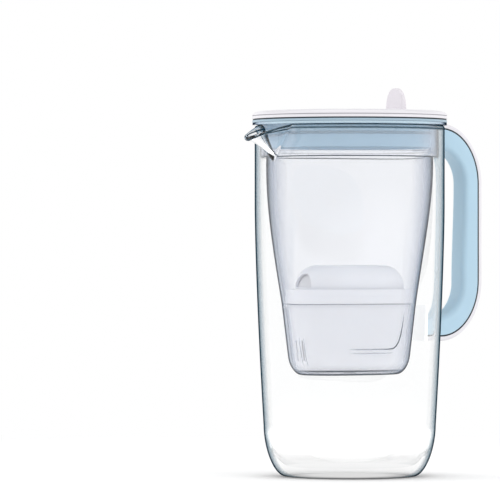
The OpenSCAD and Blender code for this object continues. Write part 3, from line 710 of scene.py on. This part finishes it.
def jug_row(radius, z, angles, inner):
    """One level of the glass, with the spout pulled out of it."""
    x, y = radius * np.cos(angles), radius * np.sin(angles)
    height = np.full(len(angles), float(z))
    v = (z - SPOUT_START) / (WALL_TOP - SPOUT_START)
    if v <= 0:
        return np.column_stack([x, y, height])
    half = max(SPOUT_HALF_W * v, LEAST_HALF_W) * (INSIDE_W if inner else 1)
    u = np.where(x < 0, np.abs(y) / half, OFF_SPOUT)
    full = rounded_positive(1 - u ** REACH_POWER, FOLD_SOFTNESS)
    fold = rounded_positive(1 - u ** DROP_POWER, DROP_SOFTNESS)
    tilt = math.pi / 4 * (1 + v)
    out = spout_out(v)
    drop = z - ridge_height(v)
    if inner:
        share = float(smooth_step(v / 0.3))
        out = (out + WALL * (1 - math.cos(tilt))) * share
        drop = (drop - LIP_T * math.sin(tilt)) * share
    else:
        share = float(smooth_step(v / 0.08))
        out, drop = out * share, drop * share
    return np.column_stack([x - out * full, y, height - drop * fold])


def jug_angles():
    """Angles round the glass, crowded at the spout."""
    t = (np.arange(JUG_COLS) / JUG_COLS) * 2 - 1
    return math.pi + math.pi * (SPOUT_CROWDING * t + (1 - SPOUT_CROWDING) * t ** 3)


def jug_rows(angles):
    """Levels of the glass from the foot's middle over the rim to the inner floor, and the number
    of the first one inside."""
    spout_z = SPOUT_START + (WALL_TOP - SPOUT_START) * np.linspace(0, 1, 37)
    taper_z = np.concatenate([np.linspace(HEEL_H, TAPER_TOP, 16)[1:],
                              np.linspace(TAPER_TOP, SPOUT_START, 4)[1:-1]])
    steps = np.linspace(0, 1, 25)
    outer_z = np.concatenate([HEEL_H * steps ** 2, taper_z, spout_z])
    inner_z = np.concatenate([FLOOR_T + (HEEL_H - FLOOR_T) * steps ** 2, taper_z, spout_z])
    punt = [(FOOT_R * s, PUNT_H * (1 - smooth_step((s - PUNT_EDGE) / PUNT_EDGE_W)))
            for s in np.linspace(0.08, 0.97, PUNT_ROWS)]
    rows = [jug_row(r, z, angles, False) for r, z in punt]
    rows += [jug_row(outer_r(z), z, angles, False) for z in outer_z]
    inside = [jug_row(inner_r(z), z, angles, True) for z in inner_z[::-1]]
    before, last, first = rows[-2], rows[-1], inside[0]
    ahead = last - before
    ahead /= np.linalg.norm(ahead, axis=1)[:, None]
    half = (first - last) / 2
    for a in np.linspace(0, math.pi, RIM_ROWS + 2)[1:-1]:
        bulge = ahead * np.linalg.norm(half, axis=1)[:, None] * math.sin(a)
        rows.append(last + half * (1 - math.cos(a)) + bulge)
    rim = len(rows)
    rows += inside
    floor_shares = (0.93, 0.75, 0.5, 0.25, 0.08)
    rows += [jug_row(INNER_FOOT_R * s, FLOOR_T, angles, True) for s in floor_shares]
    return rows, rim


def mark_jug(jug, height, angles, rim):
    """Marks the painted dark edge lines of the glass, and where it is calm or plain, level by
    level.
    """
    row = np.arange(len(height))[:, None]
    outer = row < rim
    rounding = rim - RIM_ROWS
    in_spout = (np.cos(angles) < 0) & (np.abs(np.sin(angles)) * MOUTH_R < SPOUT_HALF_W + 1)
    lines = np.zeros(height.shape)
    lines[rounding + 1:rim - 2] = 1
    lines[rounding - 3:rounding - 1] = UNDER_RIM_PAINTED_LINE
    lines[:, in_spout] = 0
    for line_row in (rounding, rounding + 1, rim + 1, rim + 2):
        lines[line_row, in_spout] = 1
    lines[outer & (row >= PUNT_ROWS - 2) & (height < FOOT_PAINTED_LINE_H)] = FOOT_PAINTED_LINE
    mark(jug, "painted_dark_line", np.append(lines.ravel(), [0, 0]))
    calm = np.where(outer, 0.0, INNER_CALM) * np.ones(len(angles))
    calm[(height > SPOUT_START + 3) & in_spout] = SPOUT_CALM
    mark(jug, "calm", np.append(calm.ravel(), [1, 1]))
    plain = 1 - smooth_step((height - PLAIN_BELOW) / (REFRACTS_ABOVE - PLAIN_BELOW))
    mark(jug, "plain", np.append(plain.ravel(), [1, 1]))


def make_glass_jug():
    angles = jug_angles()
    rows, rim = jug_rows(angles)
    points = np.vstack(rows + [[[0, 0, PUNT_H]], [[0, 0, FLOOR_T]]])
    jug = add_piece("glass_body", points, bowl_faces(len(rows), JUG_COLS), GLASS,
                    "jug", "clear_glass", "glass_jug", sharp=80)
    mark_jug(jug, points[:-2, 2].reshape(len(rows), JUG_COLS), angles, rim)


make_glass_jug()

# ---- handle

GRIP_LOW, GRIP_HIGH = box_mm("handle_grip")
SHELL_LOW, SHELL_HIGH = box_mm("handle_shell")
GRIP_W = GRIP_HIGH[1] - GRIP_LOW[1]
GRIP_X = MOUTH_R + 30
UPPER_ARM_T = 14.6
OPENING_H = 121
GRIP_LEAN = 2
ROOT_X = (MOUTH_R + 2.2, GRIP_LOW[0])
OUTER_CORNER = np.array([33.4, 39.7])
INNER_CORNER = np.array([24, 25])
SHELL_T = SHELL_HIGH[0] - GRIP_HIGH[0]
SEAM = 0.05
# How far the dark strip in the seam, painted shadow in the gap, reaches into the grip, into the
# shell and short of the sides
STRIP_IN, STRIP_OUT, STRIP_SHORT = 0.7, 0.6, 0.4


def c_edge(x, z_top, z_bottom, corner, lean=0):
    """Side view of a C-shaped edge, from its upper to its lower root."""
    turn = np.linspace(0, math.pi / 2, 22)
    run = np.linspace(0, 1, 5, endpoint=False)
    x_low, top, bottom = x - lean, z_top - corner[1], z_bottom + corner[1]
    upper = [(ROOT_X[0] + (x - corner[0] - ROOT_X[0]) * t, z_top) for t in run]
    lower = [(ROOT_X[1] + (x_low - corner[0] - ROOT_X[1]) * t, z_bottom) for t in run[::-1]]
    round_top = [(x - corner[0] * (1 - math.sin(a)), z_top - corner[1] * (1 - math.cos(a)))
                 for a in turn]
    round_low = [(x_low - corner[0] * (1 - math.cos(a)), z_bottom + corner[1] * (1 - math.sin(a)))
                 for a in turn]
    upright = [(x - lean * smooth_step(t), top + (bottom - top) * t)
               for t in np.linspace(0, 1, 14)[1:-1]]
    return np.array(upper + round_top + upright + round_low + lower, float)


def grip_edge(grow, corner):
    """Outer edge of the grip, moved outwards by grow."""
    return c_edge(GRIP_HIGH[0] + grow, GRIP_HIGH[2] + grow, GRIP_LOW[2] - grow, corner)


def arm_section(depth, width, near_r, far_r):
    """Rounded outline across an arm, as distances along and across it."""
    corners = ((near_r, width / 2 - near_r, near_r, 90),
               (near_r, near_r - width / 2, near_r, 180),
               (depth - far_r, far_r - width / 2, far_r, 270),
               (depth - far_r, width / 2 - far_r, far_r, 0))
    return [(x + r * math.cos(a), y + r * math.sin(a)) for x, y, r, start in corners
            for a in np.radians(start + np.linspace(0, 90, 7))]


def arm_sweep(name, near, far, near_r, far_r, material, slot, *nodes, width=GRIP_W):
    """C-shaped arm between its near and its far edge, with rounded sides."""
    rows = []
    for a, b in zip(near, far):
        depth = np.linalg.norm(b - a)
        across = (b - a) / depth
        largest = depth * 0.45
        section = arm_section(depth, width, min(near_r, largest), min(far_r, largest))
        rows.append([(a[0] + across[0] * s, y, a[1] + across[1] * s) for s, y in section])
    cols = len(rows[0])
    faces = ring_faces(len(rows), cols) + end_faces(len(rows), cols)
    add_piece(name, np.vstack(rows), faces, material, "jug", slot, *nodes, sharp=50)


def make_handle():
    grip_out = grip_edge(0, OUTER_CORNER)
    opening_top = GRIP_HIGH[2] - UPPER_ARM_T
    grip_in = c_edge(GRIP_X, opening_top, opening_top - OPENING_H, INNER_CORNER, GRIP_LEAN)
    shell_in = grip_edge(SEAM, OUTER_CORNER)
    shell_out = c_edge(SHELL_HIGH[0], SHELL_HIGH[2], SHELL_LOW[2], OUTER_CORNER + SHELL_T)
    arm_sweep("grip", grip_in, grip_out, 4, 1.3, LIGHT_BLUE, "light_blue_plastic", "handle_grip")
    arm_sweep("grip_shell", shell_in, shell_out, 1.0, 2.8, WHITE, "white_plastic", "handle_shell")
    # A dark strip of painted shadow in the seam between grip and shell
    strip_in = grip_edge(-STRIP_IN, OUTER_CORNER - STRIP_IN)
    strip_out = grip_edge(STRIP_OUT, OUTER_CORNER + STRIP_OUT)
    arm_sweep("seam", strip_in, strip_out, 0.1, 0.1, SEAM_SHADOW, "seal_rubber",
              width=GRIP_W - STRIP_SHORT)


make_handle()

# ---- funnel tank

TANK_LOW, TANK_HIGH = box_mm("funnel_tank")
CAP_LOW, CAP_HIGH = box_mm("cartridge_cap")
CUP_LOW, CUP_HIGH = box_mm("cartridge_cup")
TANK_WALL = 1.8
FUNNEL_Z = TANK_LOW[2]
SEAT_Z = CAP_LOW[2] - 0.3
FLANGE_T = 1.7
FLANGE_Z = TANK_HIGH[2] - FLANGE_T
FLANGE_R = TANK_HIGH[1]
BORE_R = MOUTH_R - WALL
COLLAR_R = BORE_R - 0.7
COLLAR_WALL = 1.6
COLLAR_Z = FLANGE_Z - 23
POUR_FLAT = BORE_R - 4.7
TANK_TOP_R = COLLAR_R - 4.3
SHOULDER_T = 1.8
CART_A, CART_B = CAP_HIGH[0], CAP_HIGH[1]
LOW_A = CART_A + 0.4 + TANK_WALL
LOW_B = CART_B + 0.4 + TANK_WALL
OVAL_POWER = 2.3
DRAFT_A, DRAFT_B = 0.127, 0.085
CUP_CORNER_H, CUP_CORNER_W = 13, 8
# How far above the cup's floor its inner corner begins
CUP_INNER_H = 2.8
DRAIN_R = 4.5
# The ledge inside that the cartridge rests on: its width, and its levels below the seat
SEAT_W, SEAT_BEND, SEAT_T = 2.2, 0.7, 2
# Painted dark edge lines as (height, how dark), above the shoulder inside and above the cup's
# floor inside
SHOULDER_PAINTED_LINE = (3, 0), (2.4, 0.6), (1.8, 0), (0, 0)
CUP_FLOOR_PAINTED_LINE = (2.6, 0), (2.0, 1), (1.3, 0.9), (0.8, 0)
# How dark the painted lines are round the cup's foot and on the ledge, and how high the
# foot's reaches
CUP_PAINTED_LINE, CUP_PAINTED_LINE_H = 0.9, 0.9


def corner_loss(z, foot, height, width):
    if z >= foot + height:
        return 0
    return width * (1 - math.sqrt(max(0, 1 - ((foot + height - z) / height) ** 2)))


def tank_outline(z, inset):
    """Outline of the tank at height z, moved inwards by inset."""
    s = (z - SEAT_Z) / (COLLAR_Z - SEAT_Z)
    if s >= 0:
        a = TANK_TOP_R - (TANK_TOP_R - LOW_A) * (1 - s) ** 3
        b = LOW_B + (TANK_TOP_R - LOW_B) * smooth_step(s)
        return oval(a - inset, b - inset, OVAL_POWER - (OVAL_POWER - 2) * s)
    loss = corner_loss(z, FUNNEL_Z, CUP_CORNER_H, CUP_CORNER_W) + inset
    a, b = LOW_A - DRAFT_A * (SEAT_Z - z) - loss, LOW_B - DRAFT_B * (SEAT_Z - z) - loss
    return oval(a, b, OVAL_POWER)


def tank_ring(z, inset, line=0):
    return tank_outline(z, inset), z, line


def make_funnel():
    corner = FUNNEL_Z + CUP_CORNER_H * (1 - np.cos(np.linspace(0, math.pi / 2, 10)))
    cup = np.linspace(FUNNEL_Z + CUP_CORNER_H, SEAT_Z, 8)[1:]
    tank = np.linspace(SEAT_Z, COLLAR_Z, 30)[1:]
    heights = np.concatenate([corner, cup, tank])
    collar = flat_disc(COLLAR_R, POUR_FLAT)
    collar_in = flat_disc(COLLAR_R - COLLAR_WALL, POUR_FLAT - COLLAR_WALL)
    flange = circle(FLANGE_R)
    rings = [(circle(DRAIN_R), FUNNEL_Z)]
    rings += [tank_ring(z, 0, CUP_PAINTED_LINE if z < FUNNEL_Z + CUP_PAINTED_LINE_H else 0) for z in heights]
    # The collar's lower edge carries painted dark lines
    rings += [(flat_disc(COLLAR_R - 0.3, POUR_FLAT - 0.3), COLLAR_Z, 1),
              (collar, COLLAR_Z + 0.5, 1), (collar, COLLAR_Z + 1.1), (collar, FLANGE_Z),
              (flange, FLANGE_Z), (flange, TANK_HIGH[2]), (collar_in, TANK_HIGH[2])]
    shoulder_z, floor_z = COLLAR_Z + SHOULDER_T, FUNNEL_Z + TANK_WALL
    rings += [(collar_in, shoulder_z + h, line) for h, line in SHOULDER_PAINTED_LINE]
    rings += [(tank_outline(COLLAR_Z, TANK_WALL), shoulder_z)]
    ledge = TANK_WALL + SEAT_W
    for z in heights[::-1]:
        if z <= floor_z + CUP_INNER_H:
            break
        rings.append(tank_ring(z, TANK_WALL))
        if abs(z - SEAT_Z) < TINY:
            rings += [tank_ring(z, ledge, CUP_PAINTED_LINE), tank_ring(z - SEAT_BEND, ledge),
                      tank_ring(z - SEAT_T, ledge), tank_ring(z - SEAT_T, TANK_WALL)]
    rings += [tank_ring(floor_z + h, TANK_WALL, line) for h, line in CUP_FLOOR_PAINTED_LINE]
    rings += [(tank_outline(floor_z + 0.8, TANK_WALL + 1), floor_z), (circle(DRAIN_R), floor_z)]
    hoop("funnel", rings, CLEAR_PLASTIC, "funnel", "clear_plastic", "funnel_tank", sharp=28)
    # A pale blue band inside the clear flange, painted light over the shade it shows
    band("flange_light_fill", FLANGE_R - 2.6, FLANGE_R - 0.4, FLANGE_Z + 0.1, TANK_HIGH[2] - 0.1,
         FLANGE_PAINTED_LIGHT, "funnel", "clear_plastic")


make_funnel()

AHEAD = np.array([-math.sin(VIEW_AZIMUTH), math.cos(VIEW_AZIMUTH)])
ACROSS = np.array([AHEAD[1], -AHEAD[0]])
# Radius of the raised lines, its share at their ends and how it grows from point to point, the
# points round them, and a direction that none of them follows
RIB_R, RIB_END, RIB_GROWTH, RIB_COLS = 0.42, 0.35, 0.5, 10
ASIDE = [0.3, 0.5, 0.8]


def on_cup(across, z):
    """Point of the cup's outer wall at height z, so far to the right in the photo's view."""
    outline = ring(tank_outline(z, 0), z)
    front = outline[outline[:, :2] @ AHEAD < 0]
    front = front[np.argsort(front[:, :2] @ ACROSS)]
    places = front[:, :2] @ ACROSS
    return np.array([*(np.interp(across, places, front[:, axis]) for axis in (0, 1)), z])


def rib(path):
    """Fine raised line along points of the cup's wall, given as (to the right, height)."""
    spine = np.array([on_cup(u, z) for u, z in path])
    along = np.gradient(spine, axis=0)
    along /= np.linalg.norm(along, axis=1)[:, None]
    points = []
    for k, (centre, direction) in enumerate(zip(spine, along)):
        size = RIB_R * min(1, RIB_END + RIB_GROWTH * min(k, len(spine) - 1 - k))
        side = np.cross(direction, ASIDE)
        side /= np.linalg.norm(side)
        up = np.cross(direction, side)
        for a in np.arange(RIB_COLS) * 2 * math.pi / RIB_COLS:
            points.append(centre + size * (math.cos(a) * side + math.sin(a) * up))
    return np.array(points), ring_faces(len(spine), RIB_COLS) + end_faces(len(spine), RIB_COLS)


# Raised lines on the cup: half of a rounded frame, a line under it, and a pair of short ribs
FRAME_LINE = [(38.2, 116), (37.6, 111), (36.8, 106), (35.6, 100), (34.2, 95.5), (32.4, 92.4),
              (30.2, 90.6), (26, 90.2), (20, 90.2), (12, 90.2), (4, 90.2), (0, 90.2)]
# How dark the painted shade on the frame's line is, by the number of its point, and on the
# others
FRAME_PAINTED_SHADE = (0, 3, 6, 8, 11), (0, 1, 1, 0.5, 0.4)
RIB_PAINTED_SHADE = 0.3
LOWER_LINE = [(29.5, 87.6), (24, 87.4), (16, 87.4), (8, 87.4), (0, 87.4)]
SHORT_RIBS = ([(-35.6, 98), (-34.9, 92), (-34.0, 86), (-32.6, 79)],
              [(-32.6, 98), (-32.0, 92), (-31.2, 86), (-29.6, 79)])


def make_cup_lines():
    paths = [FRAME_LINE, LOWER_LINE, *SHORT_RIBS]
    piece = add_piece("cup_lines", *merge(*(rib(path) for path in paths)),
                      CLEAR_PLASTIC, "funnel", "clear_plastic", sharp=60)
    dark = [np.interp(np.arange(len(FRAME_LINE)), *FRAME_PAINTED_SHADE)]
    dark += [np.full(len(path), RIB_PAINTED_SHADE) for path in paths[1:]]
    mark(piece, "painted_dark_line", np.repeat(np.concatenate(dark), RIB_COLS))


make_cup_lines()

# ---- cartridge

CART_WALL = 1.6
CUP_ROUND = 6
CUP_Z, CUP_TOP = CUP_LOW[2], CUP_HIGH[2]
CUP_A, CUP_B = CUP_HIGH[0], CUP_HIGH[1]
CART_Z, DOME_TOP = CAP_LOW[2], CAP_HIGH[2]
RIM_H = 9.9
RIM_TOP = CART_Z + RIM_H
RIM_W = 2.2
GUTTER_Z = CART_Z + 3.5
DOME_H = DOME_TOP - RIM_TOP
DOME_A = CART_A - 7.6
DOME_B = CART_B - 4.2
WINDOW_R = 9.5
WINDOW_Z = RIM_TOP + 1.5
# Slots of the cup's floor and of its ends: places, half widths, and the heights of the end slots
FLOOR_SLOTS_X, FLOOR_SLOT = (-18, -9, 0, 9, 18), (1, 8)
END_SLOTS_Y, END_SLOT, END_SLOT_Z = (-3.5, 3.5), (4, 0.8), (8, 22)
# Holes in the gutter round the dome: places and half widths
GUTTER_HOLES_Y, GUTTER_HOLE = (-6, 0, 6), (1.4, 1)


def cup_outline(z, inset):
    drop = max(0, CART_Z - z)
    loss = corner_loss(z, CUP_Z, CUP_ROUND, CUP_ROUND) * 0.7 + inset
    return oval(CUP_A - DRAFT_A * drop - loss, CUP_B - DRAFT_B * drop - loss, OVAL_POWER)


def make_cartridge_cup():
    corner = CUP_Z + CUP_ROUND * (1 - np.cos(np.linspace(0, math.pi / 2, 9)))
    heights = list(corner) + [CART_Z, CUP_TOP]
    floor_z = CUP_Z + CART_WALL
    rings = [(cup_outline(CUP_Z, 4), CUP_Z)] + [(cup_outline(z, 0), z) for z in heights]
    rings += [(cup_outline(z, CART_WALL), z) for z in heights[::-1] if z > floor_z]
    rings += [(cup_outline(floor_z, CART_WALL + 2), floor_z)]
    cup = add_piece("cartridge_body", *bowl_points(rings),
                    CARTRIDGE, "cartridge", "cartridge_plastic", "cartridge_cup")
    slots = [upright_block(x, 0, *FLOOR_SLOT, CUP_Z - 1, floor_z + 1) for x in FLOOR_SLOTS_X]
    slots += [upright_block(side * (CUP_A - 5), y, *END_SLOT, *(CUP_Z + h for h in END_SLOT_Z))
              for side in (-1, 1) for y in END_SLOTS_Y]
    cut_away(cup, *merge(*slots), "slots")


def dome_outline(a, inset):
    shrink = 17 * (1 - math.cos(a)) ** 1.1
    return oval(DOME_A - shrink - inset, DOME_B - shrink * 0.62 - inset, OVAL_POWER)


def dome_rings(turn, inset):
    """Levels of the dome, or of a layer under it, at angles from its foot to its top."""
    return [(dome_outline(a, inset), RIM_TOP + DOME_H * math.sin(a) - inset) for a in turn]


def make_cartridge_cap():
    turn = np.linspace(0, math.pi / 2, 22)
    rim_out, step_out, rim_in = (oval(CART_A - inset, CART_B - inset, OVAL_POWER)
                                 for inset in (0, 0.6, RIM_W))
    step_z = CART_Z + RIM_H / 2
    rings = [(rim_in, CART_Z), (rim_out, CART_Z), (rim_out, step_z), (step_out, step_z),
             (step_out, RIM_TOP), (rim_in, RIM_TOP),
             (rim_in, GUTTER_Z + 0.2), (dome_outline(0, 0), GUTTER_Z + 0.2)]
    rings += dome_rings(turn, 0)
    outer = len(rings)
    rings += dome_rings(turn[::-1], CART_WALL)
    rings += [(dome_outline(0, CART_WALL), GUTTER_Z - 1.2), (rim_in, GUTTER_Z - 1.2)]
    rows = [ring(*r) for r in rings]
    points = np.vstack(rows + [[[0, 0, DOME_TOP]], [[0, 0, DOME_TOP - CART_WALL]]])
    count = len(rings) * COLS
    faces = ring_faces(outer, COLS) + fan_faces(count, (outer - 1) * COLS, COLS)
    faces += ring_faces(len(rings) - outer, COLS, outer * COLS)
    faces += fan_faces(count + 1, outer * COLS, COLS)
    last = count - COLS
    faces += [(last + i, last + (i + 1) % COLS, (i + 1) % COLS, i) for i in range(COLS)]
    cap = add_piece("cartridge_dome", points, faces,
                    CARTRIDGE, "cartridge", "cartridge_plastic", "cartridge_cap")
    arch = [(WINDOW_R * math.cos(a), WINDOW_Z + WINDOW_R * math.sin(a))
            for a in np.linspace(0, math.pi, 25)]
    cutters = []
    for side in (-1, 1):
        middle, gutter = side * (DOME_A - 2), side * (DOME_A + 2.2)
        cutters.append(prism(arch, "X", middle - 9, middle + 9))
        cutters += [upright_block(gutter, y, *GUTTER_HOLE, GUTTER_Z - 2, GUTTER_Z + 2)
                    for y in GUTTER_HOLES_Y]
    cut_away(cap, *merge(*cutters), "windows")
    bevel(cap, 0.35)


def make_dome_screen():
    """Fine mesh behind the windows, close under the dome."""
    turn = np.linspace(0.02, math.pi / 2 - 0.05, 16)
    rings = dome_rings(turn, CART_WALL + 0.15) + dome_rings(turn[::-1], CART_WALL + 0.5)
    add_piece("dome_screen", *bowl_points(rings), WINDOW_MESH, "cartridge", "filter_mesh")


make_cartridge_cup()
make_cartridge_cap()
make_dome_screen()

# ---- lid

PLATE_LOW, PLATE_HIGH = box_mm("lid_plate")
BASE_LOW, BASE_HIGH = box_mm("lid_base")
FLAP_LOW, _ = box_mm("flap")
TAB_LOW, TAB_HIGH = box_mm("thumb_tab")
PIN_LOW, PIN_HIGH = box_mm("hinge_pin")
LID_R = PLATE_HIGH[1]
PLATE_TOP = PLATE_HIGH[2]
PLATE_Z = PLATE_LOW[2]
PLATE_T = 2.4
PLATE_ROUND_W = 6
GROOVE_Z, GROOVE_H, GROOVE_DEPTH = PLATE_LOW[2] + 1.9, 0.6, 0.5
DECK_T = 2.5
DECK_TOP = BASE_HIGH[2]
DECK_Z = DECK_TOP - DECK_T
FLAP_R, FLAP_HALF_W = 46, 28
KNUCKLE_R = 2.2
KNUCKLE_W = 16
HINGE_X = (PIN_LOW[0] + PIN_HIGH[0]) / 2
HINGE_Z = (PIN_LOW[2] + PIN_HIGH[2]) / 2
FLAP_BACK = HINGE_X - KNUCKLE_R
FLAP_GAP, HINGE_GAP = 0.5, 1
FLAP_WALL = 1.6
LEDGE_W = 3
SKIRT_R = COLLAR_R - COLLAR_WALL - 0.4
SKIRT_FLAT = POUR_FLAT - COLLAR_WALL - 0.4
SKIRT_T = 1.6
SEAL_H = 1.8
# The joint between the lid's ring and its cover: a recess, darkened by a band of painted shadow
JOINT_H, JOINT_DEPTH = 0.9, 1.0
# How far trim reaches into the piece it lies on
OVERLAP = 0.02


def flap_outline(grow, back):
    """Outline of the flap, larger by grow, and by back along the hinge."""
    sides = (FLAP_HALF_W + grow) / np.maximum(np.abs(np.sin(ANGLES)), TINY)
    rear = (FLAP_BACK + back) / np.maximum(np.cos(ANGLES), TINY)
    return soft_min(circle(FLAP_R + grow), sides, rear)


def make_lid_plate():
    under = PLATE_TOP - PLATE_T
    turn = np.linspace(0, math.pi / 2, 9)
    round_h = PLATE_TOP - GROOVE_Z - GROOVE_H
    edge = [(circle(LID_R - PLATE_ROUND_W * (1 - math.cos(a))),
             PLATE_TOP - round_h * (1 - math.sin(a))) for a in turn]
    groove = [(circle(LID_R), GROOVE_Z), (circle(LID_R - GROOVE_DEPTH), GROOVE_Z),
              (circle(LID_R - GROOVE_DEPTH), GROOVE_Z + GROOVE_H)]
    hole = flap_outline(FLAP_GAP, HINGE_GAP)
    wall = flap_outline(FLAP_GAP + FLAP_WALL, HINGE_GAP + FLAP_WALL)
    inner = circle(LID_R - PLATE_T)
    rings = [(circle(LID_R), PLATE_Z)] + groove + edge
    rings += [(hole, PLATE_TOP), (hole, PLATE_Z), (wall, PLATE_Z), (wall, under),
              (inner, under), (inner, PLATE_Z)]
    plate = hoop("lid_cover", rings, WHITE, "lid", "white_plastic", "lid_plate", sharp=28)
    # A grey band of painted shade in the cover's groove
    band("groove_shadow_band", LID_R - GROOVE_DEPTH - 0.2, LID_R - 0.3, GROOVE_Z - OVERLAP,
         GROOVE_Z + GROOVE_H + OVERLAP, GROOVE_SHADOW, "lid", "white_plastic")
    notch = block((FLAP_BACK - 1, -KNUCKLE_W / 2 - 0.4, PLATE_Z - 1),
                  (FLAP_BACK + 2 * KNUCKLE_R + 0.4, KNUCKLE_W / 2 + 0.4, PLATE_TOP + 1))
    cut_away(plate, *notch, "notch")
    bevel(plate, 0.22)


def make_lid_base():
    skirt_z, skirt_top = BASE_LOW[2], DECK_Z - OVERLAP
    seal_z = (DECK_Z + skirt_z) / 2
    seal_top, joint_z = seal_z + SEAL_H, DECK_TOP - JOINT_H
    out, slim, groove, inside = (flat_disc(SKIRT_R - inset, SKIRT_FLAT - inset)
                                 for inset in (0, 0.4, 0.8, SKIRT_T))
    hole = flap_outline(-LEDGE_W, -LEDGE_W)
    edge, joint = circle(BASE_HIGH[1]), circle(BASE_HIGH[1] - JOINT_DEPTH)
    # A band of painted shadow in the recess of the joint
    band("joint_shadow", BASE_HIGH[1] - JOINT_DEPTH - 0.3, BASE_HIGH[1] - 0.5, joint_z, DECK_TOP,
         SEAM_SHADOW, "lid", "seal_rubber")
    rings = [(edge, DECK_Z), (hole, DECK_Z), (hole, DECK_TOP), (joint, DECK_TOP), (joint, joint_z),
             (edge, joint_z)]
    # The ring and the skirt take the darker copies of the light blue, painted shade
    base = hoop("lid_ring", rings, SHADED_RING_BLUE, "lid", "light_blue_plastic", "lid_base", sharp=28)
    bevel(base, 0.3)
    skirt_rings = [(out, skirt_top), (out, seal_top), (groove, seal_top), (groove, seal_z),
                   (slim, seal_z), (slim, skirt_z), (inside, skirt_z), (inside, skirt_top)]
    skirt = hoop("lid_skirt", skirt_rings, SHADED_SKIRT_BLUE, "lid", "light_blue_plastic", sharp=28)
    bevel(skirt, 0.3)


def knuckle_points():
    """Cylinder along Y on the hinge axis."""
    outline = [(HINGE_X + KNUCKLE_R * math.cos(a), HINGE_Z + KNUCKLE_R * math.sin(a))
               for a in np.arange(48) * 2 * math.pi / 48]
    return prism(outline, "Y", -KNUCKLE_W / 2, KNUCKLE_W / 2)


def make_flap():
    under = PLATE_TOP - PLATE_T
    outside, inside = flap_outline(0, 0), flap_outline(-FLAP_WALL, -FLAP_WALL)
    plate = bowl_points([(0.02 * outside, PLATE_TOP), (outside, PLATE_TOP), (outside, FLAP_LOW[2]),
                         (inside, FLAP_LOW[2]), (inside, under), (0.02 * inside, under)])
    web = block((FLAP_BACK - 1, -KNUCKLE_W / 2, under), (HINGE_X, KNUCKLE_W / 2, HINGE_Z + 0.9))
    flap = add_piece("flip_flap", *merge(plate, knuckle_points(), web),
                     WHITE, "flap", "white_plastic", "flap", sharp=28)
    bevel(flap, 0.45, 3)


def make_thumb_tab():
    half = (TAB_HIGH[1] - TAB_LOW[1]) / 2
    foot = PLATE_TOP + 0.05
    height = TAB_HIGH[2] - foot
    power = 2.3
    turn = np.linspace(0, math.pi, 41)
    arch = [(half * math.copysign(abs(math.cos(a)) ** (2 / power), math.cos(a)),
             foot + height * math.sin(a) ** (2 / power)) for a in turn]
    blade = prism(arch, "X", TAB_LOW[0], TAB_HIGH[0])
    tab = add_piece("tab_blade", *blade, FROSTED, "flap", "frosted_plastic", "thumb_tab", sharp=28)
    bevel(tab, 1.2, 4)


make_lid_plate()
make_lid_base()
make_flap()
make_thumb_tab()

# ---- CAD nodes that stay

KEPT_NODES = {
    "handle_upper_pad": RESIN, "handle_lower_pad": RESIN,
    "cartridge_top_mesh": MESH, "cartridge_bottom_mesh": MESH, "filter_granules": GRANULES,
    "lid_seal": SEAL, "hinge_pin": STEEL,
    "indicator_case": FROSTED, "indicator_cover": COVER, "indicator_board": BOARD,
    "coin_cell": CELL,
}
for node, material in KEPT_NODES.items():
    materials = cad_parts[node].data.materials
    materials.clear()
    materials.append(material)
